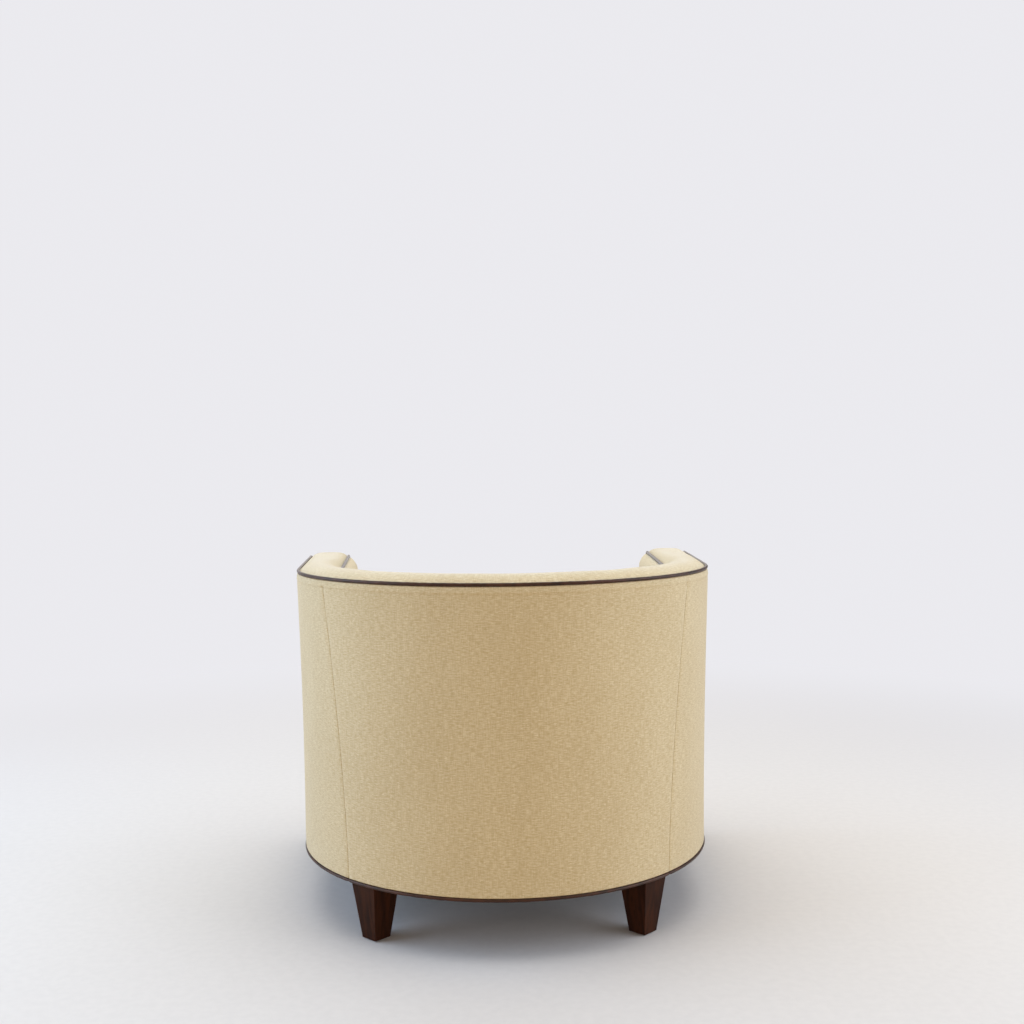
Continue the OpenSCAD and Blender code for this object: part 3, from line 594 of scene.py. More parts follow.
THREAD = speckled("linen_thread", (160, 142, 108), (198, 180, 144), 1400)


def dress(piece, material, body="tub", nodes=()):
    """Gives a new piece its material and body, and hides the CAD nodes that it stands for."""
    piece.data.materials.append(material)
    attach(piece, body)
    if nodes:
        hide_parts(*nodes)


# Outside panels


EDGE_ROLL = 2.2 * MM
SEAM_ROLL = 1.3 * MM
SEAM_HALF_GAP = 0.08 * MM
STITCH_PITCH = 9 * MM
SEAM_DIP = 0.4 * MM
SEAM_RISE = 0.35 * MM
STITCH_DIP = 0.2 * MM
TUCK_DEPTH = 1.3 * MM
STRIP_H = 12 * MM
STRIP_PROUD = 1 * MM
STRIP_SOFTNESS = 1.4 * MM
TIGHT_RIPPLE = 0.35 * MM
THREAD_R = 0.25 * MM
THREAD_IN = 1.35 * MM
SIDES = (("back", 0), ("left", 1), ("right", -1))
OUTER_ROWS = np.concatenate(
    [
        SKIN_LOW + np.array([0, 0.7, 1.5, 2.4, 4.5, 8]) * MM,
        np.linspace(SKIN_LOW + 14 * MM, BEND_Z - 8 * MM, 62),
        BEND_Z + np.array([-2, 2, 3.2, 4.2, 5.2, 6.4, 8.5, 10.5, 12.2, 13.6, 14.7, 15.5, 16.1]) * MM,
        [SKIN_TOP - 0.15 * MM, SKIN_TOP],
    ]
)


def rolled(distance, depth=EDGE_ROLL):
    """How far a cloth's edge has turned inward at a distance from it."""
    left = np.clip(1 - distance / depth, 0, 1)
    return depth * (1 - np.sqrt(1 - left**2))


def panel_ends(side, seam, z):
    """Where a panel starts and ends along the wall: the back's for side 0, the left arm's for 1."""
    if side == 0:
        return SEAM_HALF_GAP - seam, seam - SEAM_HALF_GAP
    if side == 1:
        return seam + SEAM_HALF_GAP, front_s(z)
    return -front_s(z), -seam - SEAM_HALF_GAP


def seam_valley(near, below_top, strip, start):
    """Depth of the dip that a sewn end draws into a panel, with its stitches and a tuck under the strip."""
    stitch = 0.5 + 0.5 * np.cos((SKIN_TOP - below_top) * 2 * math.pi / STITCH_PITCH + start)
    valley = rolled(near, SEAM_ROLL) + SEAM_DIP * hump(near, 5 * MM) - SEAM_RISE * hump(near - 9 * MM, 6 * MM)
    valley = valley + STITCH_DIP * stitch * hump(near, 7 * MM)
    tuck = hump(below_top - STRIP_H - 1 * MM, 4 * MM) * hump(near, 5 * MM)
    return valley * (1 - 0.8 * strip) + TUCK_DEPTH * tuck


def outer_panel(word, side):
    """A linen panel with its wadding, over the card strip that stiffens its top edge."""
    z = OUTER_ROWS[:, None]
    low, high = panel_ends(side, seam_s(z), z)
    s = low + (high - low) * spaced(float(np.mean(high - low)), 9 * MM)[None]
    z = np.broadcast_to(z, s.shape)
    below_top = SKIN_TOP - z
    strip = 0.5 - 0.5 * np.tanh((below_top - STRIP_H) / STRIP_SOFTNESS)
    edge = np.minimum(z - SKIN_LOW, below_top)
    inset = flare_in(z) + rolled(edge)
    for near, sewn, start in ((abs(s - low), side >= 0, 0), (abs(s - high), side <= 0, 2.2)):
        edge = np.minimum(edge, near)
        inset = inset + (seam_valley(near, below_top, strip, start) if sewn else rolled(near))
    inset = inset + strip * (2.2 * MM * np.clip(1 - below_top / STRIP_H, 0, 1) - STRIP_PROUD)
    inset = inset + 0.4 * MM * hump(below_top - STRIP_H - 2 * MM, 1.8 * MM)
    inset = inset - TIGHT_RIPPLE * ripple(s, z * 0.35, 0.11, 5) * covered(edge, 25 * MM)
    name = f"outside_{word}"
    piece = slab(name + "_panel", plan(s, inset, z), plan(s, BOARD_IN - GAP, z), np.stack([s, z], -1))
    dress(piece, LINEN, nodes=(name + "_cover", name + "_wadding"))


for word, side in SIDES:
    outer_panel(word, side)


def seam_thread(name, side):
    """The hand stitches that draw a rear seam together: short slanting bars down in its valley."""
    points, faces = [], []
    for k in range(int((SKIN_TOP - SKIN_LOW - 12 * MM) / STITCH_PITCH)):
        z = SKIN_LOW + 6 * MM + k * STITCH_PITCH
        middle = side * seam_s(z)
        inset = flare_in(z) + THREAD_IN
        ends = [plan(middle + d * 1.5 * MM, inset, z + d * 1.4 * MM) for d in (-1, -0.4, 0.4, 1)]
        out = outward(middle)
        ahead = ends[-1] - ends[0]
        beside = np.cross(ahead / np.linalg.norm(ahead), out)
        first = len(points)
        for end in ends:
            for turn in np.arange(6) * math.pi / 3:
                points.append(end + THREAD_R * (math.cos(turn) * out + math.sin(turn) * beside))
        faces += grid_faces(4, 6, first, around=True)
        faces += [tuple(first + a for a in range(6)), tuple(first + 18 + a for a in reversed(range(6)))]
    dress(closed_mesh(name, points, faces), THREAD)


seam_thread("left_seam_stitches", 1)
seam_thread("right_seam_stitches", -1)


# Padded top and arm fronts


BORDER_COLUMNS = 30
PUCKER_PITCH = 13 * MM
PUCKER_H = 0.4 * MM


def border_stations():
    """Places along the top border, from the foot of the left arm's front to that of the right.

    Each is (side, s, angle of the bend, drop below the bend).
    """
    height = BEND_Z - SKIN_LOW
    drops = [height - d * MM for d in (0, 0.7, 1.6, 3, 5)]
    drops += [d for d in [*np.linspace(height, 8 * MM, 52), 0] if d < height - 7 * MM]
    left = [(1.0, math.pi / 2, d) for d in drops]
    left += [(1.0, math.radians(a), 0.0) for a in range(80, 0, -10)]
    left += [((ARC_HALF + BEND_RUN) * k / 105, 0.0, 0.0) for k in range(105, 0, -1)]
    return [(1, *p) for p in left] + [(1, 0.0, 0.0, 0.0)] + [(-1, *p) for p in reversed(left)]


def border_place(side, s, angle, drop, inset, h):
    """A point of the top border, at an inset and a height h over the line of the piping."""
    if angle == 0:
        return plan(side * s, inset, TOP + h)
    run = BEND_RUN + (BEND_R + h) * math.sin(angle)
    z = BEND_Z + (BEND_R + h) * math.cos(angle) - drop
    return plan(side * (ARC_HALF + run), inset + flare_in(z) * covered(WALL_T - inset, WALL_T), z)


def border_heights(u, inset, side, s, angle, drop):
    """Rise of the top border across its width, with its puckers along the inner piping."""
    h = crown(u, s if angle == 0 else ARM + ARC_HALF, angle)
    if angle == 0:
        far = side * s
        h = h + TIGHT_RIPPLE * ripple(far, inset, 0.09, 11)
        bent = hump(max(s - ARC_HALF, 0), 40 * MM)
        pucker = math.sin(far * 2 * math.pi / PUCKER_PITCH + 1.5 * math.sin(far * 31)) * bent
        return h - PUCKER_H * pucker * hump(1 - u, 0.16) * covered(1 - u, 0.03)
    far = side * (ARC_HALF + BEND_RUN + BEND_R * (math.pi / 2 - angle)) + side * drop
    edge = BEND_Z - SKIN_LOW - drop
    h = h + TIGHT_RIPPLE * ripple(far, inset, 0.09, 11) * min(1, edge / (20 * MM))
    return h - float(rolled(edge)) - 0.8 * MM * hump(edge, 6 * MM)


def top_border():
    """The crowned strip of linen over its padding, in one length."""
    u = (1 - np.cos(np.linspace(0, math.pi, BORDER_COLUMNS + 1))) / 2
    first, last = WELT_D + WELT_GAP, WALL_T - WELT_D - WELT_GAP
    inset = first + (last - first) * u
    inner = WALL_T - CLOTH_T - 2 * GAP
    under = [(last, -SHOULDER), (inner, -SHOULDER), (inner, -PAD_T), (FRAME_IN, -PAD_T)]
    under += [(FRAME_IN, -SHOULDER), (first, -SHOULDER)]
    rows, widths = [], []
    for side, s, angle, drop in border_stations():
        h = border_heights(u, inset, side, s, angle, drop)
        line = [(float(a), float(b)) for a, b in zip(inset, h)] + under
        rows.append([border_place(side, s, angle, drop, a, b) for a, b in line])
        widths.append([a for a, b in line])
    rows = np.array(rows)
    n, m = rows.shape[:2]
    along = length_along(rows[:, BORDER_COLUMNS // 2])
    uv = np.stack([np.repeat(along, m), np.array(widths).ravel()], 1)
    faces = grid_faces(n, m, around=True) + [tuple(range(m)), tuple(reversed(range((n - 1) * m, n * m)))]
    piece = closed_mesh("top_border", rows.reshape(-1, 3), faces, uv)
    nodes = ("top_border_cover", "back_top_pad", "left_arm_pad", "right_arm_pad")
    dress(piece, LINEN, nodes=nodes)


top_border()


# Piping


def creased(n, seed, depth=0.035):
    """Radius factors for piping: leather drawn over its cord in slight, uneven creases."""
    ring = np.arange(n)[:, None]
    turn = np.arange(WELT_SIDES)[None] * 2 * math.pi / WELT_SIDES
    draw = random.Random(seed)
    total = np.zeros((n, WELT_SIDES))
    for _ in range(9):
        pitch = draw.uniform(3.5, 12)
        total += np.sin(ring * 2 * math.pi / pitch + draw.choice((1, 2, 3)) * turn + draw.uniform(0, 6.28))
    return 1 + depth * total / 4.5 - depth * 0.6


def pinched(n, seed):
    """Creased piping whose two cut ends are drawn in a little."""
    ends = np.minimum(np.arange(n), np.arange(n)[::-1])
    return creased(n, seed) * (1 - 0.3 * np.exp(-ends / 0.7))[:, None]


def arm_path(inset, flared):
    """Up the front of the left arm, over its bend and back to the arc."""
    angle = np.radians(np.arange(7.5, 90, 7.5))
    up, back = np.linspace(SKIN_LOW, BEND_Z, 120), np.linspace(BEND_RUN, 0, 75)
    z = np.concatenate([up, BEND_Z + BEND_R * np.sin(angle), TOP + 0 * back])
    run = np.concatenate([ARM + 0 * up, BEND_RUN + BEND_R * np.cos(angle), back])
    return plan(ARC_HALF + run, inset + (flare_in(z) if flared else 0 * z), z)


def top_welt(name, node, inset, flared, seed):
    arm = arm_path(inset, flared)
    s = np.linspace(ARC_HALF, -ARC_HALF, 300)[1:-1]
    path = np.concatenate([arm, plan(s, inset, TOP + 0 * s), arm[::-1] * [-1, 1, 1]])
    side = outward(np.full(len(arm), ARC_HALF))
    across = np.concatenate([side, outward(s), side * [-1, 1, 1]])
    both = evenly(np.concatenate([path, across], 1), WELT_STEP)
    both[:, :3][1:-1, 2] += 0.12 * MM * ripple(np.arange(len(both))[1:-1] * WELT_STEP, 0, 0.05, seed)
    dress(tube(name, both[:, :3], both[:, 3:], creased(len(both), seed)), LEATHER, nodes=(node,))


top_welt("outer_top_welt", "outer_top_piping", WELT_R, True, 21)
top_welt("inner_top_welt", "inner_top_piping", WALL_T - WELT_R, False, 22)


def base_welts():
    """Piping along the lower edge, in lengths that butt at the rear seams and turn in across the front."""
    seam = BACK_R * (math.pi / 2 - BASE_SEAM)
    front = ARC_HALF + BASE_RUN - WELT_R - 2 * GAP
    corner = plan(ARC_HALF + BASE_RUN, np.array([BASE_WELT_IN - WELT_R, WALL_T - WELT_R]), BASE_WELT_Z)
    inner = [[BASE_CORNER_X, FRONT_Y - BASE_PROUD + WELT_R, BASE_WELT_Z]]
    half = np.concatenate([corner, inner])
    across_front = evenly(np.concatenate([half, half[::-1] * [-1, 1, 1]]), WELT_STEP)
    runs = {
        "back": np.linspace(GAP - seam, seam - GAP, 140),
        "left": np.linspace(seam + 2 * GAP, front, 130),
        "right": -np.linspace(seam + 2 * GAP, front, 130),
        "front": None,
    }
    for seed, (word, s) in enumerate(runs.items(), 31):
        if word == "front":
            path, across = across_front, np.tile([0.0, -1.0, 0.0], (len(across_front), 1))
        else:
            path, across = plan(s, BASE_WELT_IN, BASE_WELT_Z), outward(s)
        piece = tube(f"{word}_base_welt", path, across, pinched(len(path), seed))
        dress(piece, LEATHER, nodes=(f"{word}_base_piping",))


base_welts()


# Inside of the back and arms


INNER_ROWS = np.concatenate(
    [
        DECK_LOW + np.array([0, 0.7, 1.6, 3.5, 7]) * MM,
        np.linspace(DECK_LOW + 14 * MM, RIM_LOW - 6 * MM, 40),
        [RIM_LOW - 0.6 * MM, RIM_LOW, RIM_LOW + 6 * MM],
        BEND_Z + np.array([-4, 0, 3, 5.5, 7.7, 8.2, 10.5, 12.4, 13.8, 14.9, 15.7, 16.3]) * MM,
        [SKIN_TOP],
    ]
)
LIP_Z = BEND_Z + 7.8 * MM
LIP_IN = 88.3 * MM
SEWN_DIP = 1.8 * MM
HESSIAN_SHEET_T = 0.8 * MM


def hidden_face(run, z):
    """Inset of the inside panels' hidden side: on the hessian, the rim, the front post or the top's lip."""
    hidden = np.where(z < RIM_LOW - 0.3 * MM, HESSIAN_IN + GAP, RIM_IN)
    hidden = np.where(z > LIP_Z, LIP_IN, hidden)
    hidden = np.where(run > POST_BACK_RUN - 2 * MM, np.maximum(hidden, POST_IN), hidden)
    return np.where(run > POST_RUN - 4 * MM, LIP_IN, hidden)


def inner_panel(word, side, seed):
    """A padded panel of the inside, swollen between its sewn edges."""
    z = INNER_ROWS[:, None]
    low, high = panel_ends(side, INNER_SEAM_S + 0 * z, z)
    s = low + (high - low) * spaced(float(np.mean(high - low)), 10 * MM, (0.8, 2, 4, 8))[None]
    z = np.broadcast_to(z, s.shape)
    run = abs(s) - ARC_HALF
    taper = 1 - (1 - covered(BORDER_RUN - run, BORDER_RUN - ARM + TAPER_LEN)) ** 2
    flat = WALL_T + 0.6 * MM
    face = flat + (inner_face(z) - flat) * taper
    narrowing = (BACK_R - WALL_T) / BACK_R
    edge = np.minimum(z - DECK_LOW, SKIN_TOP - z)
    for near, sewn in ((abs(s - low), side >= 0), (abs(s - high), side <= 0)):
        edge = np.minimum(edge, near * narrowing)
        if sewn:
            face = face - SEWN_DIP * hump(near, 7 * MM)
    face = face - 0.9 * rolled(edge) - 1.0 * MM
    face = face - 0.5 * MM * ripple(s, z, 0.12, seed) * covered(edge, 30 * MM)
    face = np.where(z > LIP_Z, np.maximum(face, LIP_IN + 0.6 * MM), face)
    uv = np.stack([s * narrowing, z], -1)
    name = f"inside_{word}"
    piece = slab(name + "_panel", plan(s, face, z), plan(s, hidden_face(run, z), z), uv)
    pinned = np.ones(2 * s.size)
    pinned[: s.size] = 1 - covered(edge - 3 * MM, 30 * MM).ravel()
    inflate(piece, pinned, 3.0, 2 * MM, 0.01)
    dress(piece, LINEN, nodes=(name + "_cover", name + "_pad"))


for seed, (word, side) in enumerate(SIDES, 41):
    inner_panel(word, side, seed)


def hessian_sheet():
    """The woven backing of the inside padding, tacked between the rim and the seat rails."""
    s = np.linspace(-1, 1, 150)[None] * (ARC_HALF + POST_BACK_RUN)
    z = np.linspace(DECK_LOW, RIM_LOW, 34)[:, None]
    s, z = np.broadcast_arrays(s, z)
    wave = 0.2 * MM * ripple(s, z, 0.1, 44) * covered(np.minimum(z - DECK_LOW, RIM_LOW - z), 90 * MM)
    inset = HESSIAN_IN - 0.45 * MM + wave
    back = plan(s, inset - HESSIAN_SHEET_T, z)
    piece = slab("hessian_backing", plan(s, inset, z), back, np.stack([s, z], -1))
    dress(piece, HESSIAN, nodes=("inside_hessian",))


hessian_sheet()


# Seat deck, front border and cushion


SEAT_MIDDLE = np.array([0.0, -40 * MM])
BORDER_BACK = 0.8 * MM
BORDER_PUFF = 1.2 * MM
BEHIND_WELT = 2.4 * MM
TO_CORNER = 5.2 * MM
CUSHION_POINTS = 264
FRONT_DRAWN_IN = 2.5 * MM
SEAM_IN = 5.2 * MM
SIDE_SWELL = 1.6 * MM
TOP_BUMP = 1.1 * MM
CROWN_REACH = 110 * MM
TOP_EASE = 8 * MM


def seat_outline(inset, front_y, corner_r, count, front_in=0.0):
    """Points of the seat's plan at even distances, anticlockwise from its left rear."""

    def bow(x, y, radius, angle):
        return np.stack([x + radius * np.cos(angle), y + radius * np.sin(angle)], 1)

    r = BACK_R - inset
    corner_y = front_y + corner_r
    corner_x = half_width(r - corner_r, corner_y)
    quarter = (math.pi / 2 + SPLAY) * np.arange(13) / 12
    across = np.arange(1, 40) / 40
    line = [
        bow(0, ARC_Y, r, np.linspace(SPLAY, math.pi - SPLAY, 160)),
        bow(-corner_x, corner_y, corner_r, math.pi - SPLAY + quarter),
        np.stack([corner_x * (2 * across - 1), front_y + front_in * np.sin(math.pi * across)], 1),
        bow(corner_x, corner_y, corner_r, quarter - math.pi / 2),
    ]
    return evenly(np.concatenate(line), count=count, closed=True)


def ringed(name, outline, rings, pole_low, pole_high):
    """A closed form through rings round SEAT_MIDDLE, from its lowest point to its highest.

    Each ring is (share of the outline's size, inset, height or what gives heights by place, whether flat).
    Threads run with the axes on a flat ring, and round and up on an upright one.
    """
    n = len(outline)
    ahead = unit(np.roll(outline, -1, 0) - np.roll(outline, 1, 0))
    normal = np.stack([ahead[:, 1], -ahead[:, 0]], 1)
    along = length_along(outline)
    points, uvs = [(*SEAT_MIDDLE, pole_low)], [SEAT_MIDDLE]
    for size, inset, height, flat in rings:
        ring = SEAT_MIDDLE + (outline - normal * inset - SEAT_MIDDLE) * size
        z = height(ring) if callable(height) else np.full(n, height)
        points += [(*p, h) for p, h in zip(ring, z)]
        uvs += list(ring if flat else np.stack([along, z], 1))
    points.append((*SEAT_MIDDLE, pole_high))
    uvs.append(SEAT_MIDDLE)
    last = 1 + (len(rings) - 1) * n
    faces = grid_faces(len(rings), n, 1, around=True)
    faces += [(0, 1 + (j + 1) % n, 1 + j) for j in range(n)]
    faces += [(last + j, last + (j + 1) % n, last + n) for j in range(n)]
    return closed_mesh(name, points, faces, uvs, sharp=60)


def seat_deck():
    """The webbing's padding under its own linen, seen when the cushion is lifted."""

    def top(ring):
        sag = 0.8 * MM * ripple(ring[:, 0], ring[:, 1], 0.14, 51) - 0.8 * MM
        return DECK_TOP - 0.3 * MM + np.minimum(0, sag)

    outline = seat_outline(DECK_IN, FRONT_Y + CLOTH_T + GAP, 3 * MM, 200)
    rings = [(k / 8, 0, DECK_LOW - GAP, True) for k in range(1, 8)]
    for inset, z, flat in (
        (0.4 * MM, DECK_LOW, False),
        (0, DECK_LOW + 12 * MM, False),
        (0, DECK_TOP - 12 * MM, False),
        (0.3 * MM, DECK_TOP - 5 * MM, False),
        (1.5 * MM, DECK_TOP - 1.6 * MM, False),
        (4 * MM, DECK_TOP - 0.6 * MM, True),
    ):
        rings.append((1, inset, z, flat))
    rings += [(1 - k / 18, 0, top, True) for k in range(1, 18)]
    piece = ringed("seat_deck", outline, rings, DECK_LOW - GAP, DECK_TOP - 0.6 * MM)
    dress(piece, LINEN, nodes=("deck_pad", "deck_cover"))


seat_deck()


def front_border():
    """The upright band across the front, with its wadding.

    Below the deck its ends reach behind the arms' piping, and its lower edge follows the lower piping.
    """
    height = DECK_TOP - SKIN_LOW
    z = SKIN_LOW + spaced(height, 8 * MM) * height
    z = np.sort(np.append(z, [DECK_LOW - 0.9 * MM, DECK_LOW - 0.3 * MM]))[:, None]
    half = half_width(BACK_R - WALL_T - 1 * MM, FRONT_Y)
    x, z = np.broadcast_arrays(half * (spaced(2 * half, 9 * MM)[None] * 2 - 1), z)
    reach = BEHIND_WELT * (z < DECK_LOW - 0.6 * MM)
    x = x + np.sign(x) * reach * covered(abs(x) - half + 12 * MM, 12 * MM)
    near = half + reach - abs(x)
    edge = np.minimum(np.minimum(z - SKIN_LOW, DECK_TOP - z), near)
    puff = 1 - (1 - covered(edge, 70 * MM)) ** 2
    drawn = covered(abs(x) - BASE_CORNER_X, 28 * MM) * covered(near, 3 * MM) * hump(z - SKIN_LOW, 16 * MM)
    y = FRONT_Y + BORDER_BACK + rolled(edge) - BORDER_PUFF * puff - TO_CORNER * drawn
    y = y - 0.3 * MM * ripple(x, z, 0.1, 52) * covered(edge, 20 * MM)
    hidden = np.where(z < DECK_LOW - 4 * MM, FRONT_RAIL_Y - GAP, FRONT_Y + CLOTH_T)
    back = np.stack([x - np.sign(x) * 0.6 * MM, hidden, z], -1)
    piece = slab("front_border", np.stack([x, y, z], -1), back, np.stack([x, z], -1))
    pinned = np.ones(2 * x.size)
    pinned[: x.size] = 1 - covered(edge - 3 * MM, 25 * MM).ravel()
    inflate(piece, pinned, 2.0, 2.5 * MM, 0.005)
    dress(piece, LINEN, nodes=("front_border_cover", "front_wadding"))


front_border()


def cushion_path(inset):
    front_y, corner_r = CUSHION_FRONT + inset, CORNER_R - inset
    return seat_outline(CUSHION_IN + inset, front_y, corner_r, CUSHION_POINTS, FRONT_DRAWN_IN)


def crowned(ring):
    """Heights of the cushion's top before it is inflated: full in the middle, low along its edges."""
    x, y = abs(ring[:, 0]), ring[:, 1]
    r = BACK_R - CUSHION_IN - SEAM_IN
    from_arc = r - np.hypot(x, y - ARC_Y)
    from_arm = r + (ARC_Y - y) * math.sin(SPLAY) - x * math.cos(SPLAY)
    from_wall = np.where(y - ARC_Y > x * math.tan(SPLAY), from_arc, from_arm)
    rise = 1
    for distance in (from_wall, y - CUSHION_FRONT - SEAM_IN):
        rise = rise * (1 - (1 - covered(distance, CROWN_REACH)) ** 2.2)
    bump = TOP_BUMP * ripple(ring[:, 0], ring[:, 1], 0.16, 61)
    return CUSHION_TOP - WELT_R + (0.8 * CUSHION_CROWN + bump) * rise


def seat_cushion():
    """The loose cushion: flat where it lies on the deck, drawn in at its two seams and crowned on top."""
    low, high = CUSHION_Z + WELT_R, CUSHION_TOP - WELT_R
    under = CUSHION_Z + 0.2 * MM
    rings = [(k / 14, 0, under, True) for k in range(1, 14)]
    rings += [(1, 1.5 * MM, CUSHION_Z + 0.9 * MM, True), (1, 0, low, False)]
    low_ring = len(rings) - 1
    for k in range(1, 12):
        swell = SIDE_SWELL * math.sin(math.pi * k / 12) ** 0.6
        rings.append((1, -swell, low + (high - low) * k / 12, False))
    rings.append((1, 0, high, False))
    high_ring = len(rings) - 1
    rings += [(1, e * MM, crowned, True) for e in (2, 5, 9, 13)]
    rings += [(1 - k / 34, 13 * MM, crowned, True) for k in range(1, 34)]
    peak = float(crowned(np.array([SEAT_MIDDLE]))[0])
    piece = ringed("seat_cushion_pad", cushion_path(SEAM_IN), rings, under, peak)
    pinned = np.ones(len(piece.data.vertices))
    for k in range(low_ring + 1, len(rings)):
        free = min(1, abs(k - low_ring) / 4, abs(k - high_ring) / 4)
        pinned[1 + k * CUSHION_POINTS : 1 + (k + 1) * CUSHION_POINTS] = 1 - free
    pinned[-1] = 0
    inflate(piece, pinned, 4.0, 12 * MM, 0.012, 20)
    keep_inside(piece)
    smooth = piece.modifiers.new("smooth", "SUBSURF")
    smooth.levels = smooth.render_levels = 1
    nodes = ("cushion_core", "cushion_top_cover", "cushion_border", "cushion_bottom_cover")
    dress(piece, LINEN, "seat_cushion", nodes)


def keep_inside(piece):
    """Holds the cushion's sides clear of the walls and its top under the height that its solid has."""
    points = get_points(piece.data)
    x, y, z = points.T
    limit = BACK_R - CUSHION_IN - 1.2 * MM
    behind = y > ARC_Y
    far = np.hypot(x, y - ARC_Y)
    shrink = np.where(behind & (far > limit), limit / np.maximum(far, 1e-6), 1)
    widest = half_width(limit, y)
    x = np.where(behind, x * shrink, np.clip(x, -widest, widest))
    y = np.maximum(ARC_Y + (y - ARC_Y) * shrink, CUSHION_FRONT - 4 * MM)
    z = np.maximum(z, CUSHION_Z)
    over = np.maximum(z - (CUSHION_TOP + CUSHION_CROWN - TOP_EASE), 0)
    z = z - over + TOP_EASE * (1 - np.exp(-over / TOP_EASE))
    set_points(piece, np.stack([x, y, z], 1))


def cushion_welts():
    """The two lines of piping round the cushion's seams, joined at the back."""
    path = cushion_path(WELT_R)
    path = evenly(np.concatenate([path, unit(path - [0, ARC_Y])], 1), WELT_STEP, closed=True)
    n = len(path)
    across = np.column_stack([path[:, 2:], np.zeros(n)])
    for word, z, wave, seed in (
        ("lower", CUSHION_Z + WELT_R, 0, 62),
        ("upper", CUSHION_TOP - WELT_R, 0.35 * MM, 63),
    ):
        line = np.column_stack([path[:, :2], z + wave * ripple(np.arange(n) * WELT_STEP, 0, 0.12, seed)])
        piece = tube(f"{word}_cushion_welt", line, across, creased(n, seed), True)
        dress(piece, LEATHER, "seat_cushion", ("cushion_piping",))


seat_cushion()
cushion_welts()


# Webbing and dust cover


WEB_SLOPE = 34 * MM


def strip_mesh(points, faces, uvs, line, across):
    """Adds one strip of webbing, a flat closed band along a line, and gives its length."""
    first = len(points)
    last = first + 4 * (len(line) - 1)
    half = (WEB_T - 0.3 * MM) / 2
    along = length_along(line)
    for p, a in zip(line, along):
        for d, h in ((-0.5, -1), (0.5, -1), (0.5, 1), (-0.5, 1)):
            points.append(p + across * d * WEB_W + np.array([0, 0, h * half]))
            uvs.append((a, d * WEB_W))
    faces += grid_faces(len(line), 4, first, around=True)
    faces += [(first, first + 1, first + 2, first + 3), (last + 3, last + 2, last + 1, last)]
    return along[-1]


def woven_height(at, crossings, start, own, other):
    """Height of a strip's middle along it: its own, and the other level at every second crossing."""
    turned = np.zeros(len(at))
    for crossing in crossings[start::2]:
        turned = np.maximum(turned, np.clip(1.6 - abs(at - crossing) / WEB_SLOPE, 0, 1))
    return own + (other - own) * turned * turned * (3 - 2 * turned)


def webbing():
    """Nine strips woven over and under one another."""
    columns = [i * WEB_PITCH for i in range(-2, 3)]
    rows = [FIRST_CROSS_Y + i * WEB_PITCH for i in range(4)]
    low, high = RAIL_TOP + WEB_T / 2, RAIL_TOP + 1.5 * WEB_T
    half_r = BACK_R - FRAME_IN - RAIL_T / 4
    lengthwise, crosswise = [], []
    for i, x in enumerate(columns):
        end_y = ARC_Y + math.sqrt(half_r**2 - (abs(x) + WEB_W / 2) ** 2)
        y = np.arange(FRONT_RAIL_Y + RAIL_T / 4, end_y, 5 * MM)
        lengthwise.append(np.stack([x + 0 * y, y, woven_height(y, rows, 1 - i % 2, low, high)], 1))
    for j, y in enumerate(rows):
        arc_half = math.sqrt(half_r**2 - (y + WEB_W / 2 - ARC_Y) ** 2)
        half = half_width(half_r, y) if y < ARC_Y else arc_half
        x = np.linspace(-half, half, 140)
        crosswise.append(np.stack([x, y + 0 * x, woven_height(x, columns, 1 - j % 2, high, low)], 1))
    for name, lines, across in (("long", lengthwise, (1.0, 0, 0)), ("cross", crosswise, (0, 1.0, 0))):
        points, faces, uvs = [], [], []
        length = sum(strip_mesh(points, faces, uvs, line, np.array(across)) for line in lines)
        piece = closed_mesh(f"{name}_webbing_strips", points, faces, uvs)
        dress(piece, WEBBING, nodes=(f"{name}_webbing",))


webbing()


LEG_TURN = {
    "front_left_foot": SPLAY,
    "front_right_foot": -SPLAY,
    "rear_left_foot": math.pi / 4,
    "rear_right_foot": math.pi / 4,
}
LEG_HOLE = 61.4 * MM
DUST_IN = 24 * MM
DUST_STEP = 17 * MM
DUST_SAG = 2.5 * MM
DUST_T = 0.5 * MM


def leg_holes():
    """The square holes in the dust cover, one round each leg, as points in plan."""
    holes = []
    for mount in frame["record"]["mounts"]:
        turn = LEG_TURN[mount["name"]]
        c, s = math.cos(turn), math.sin(turn)
        square = np.array([(-1, -1), (1, -1), (1, 1), (-1, 1)]) * LEG_HOLE / 2
        square = mount["pos_m"][:2] + square @ np.array([(c, s), (-s, c)])
        holes.append(evenly(square, count=24, closed=True))
    return holes


def inside(point, polygon):
    """Whether a point in plan lies in a polygon."""
    x, y = point
    hit = False
    for (x0, y0), (x1, y1) in zip(polygon, np.roll(polygon, -1, 0)):
        if (y0 > y) != (y1 > y) and x < x0 + (y - y0) * (x1 - x0) / (y1 - y0):
            hit = not hit
    return hit


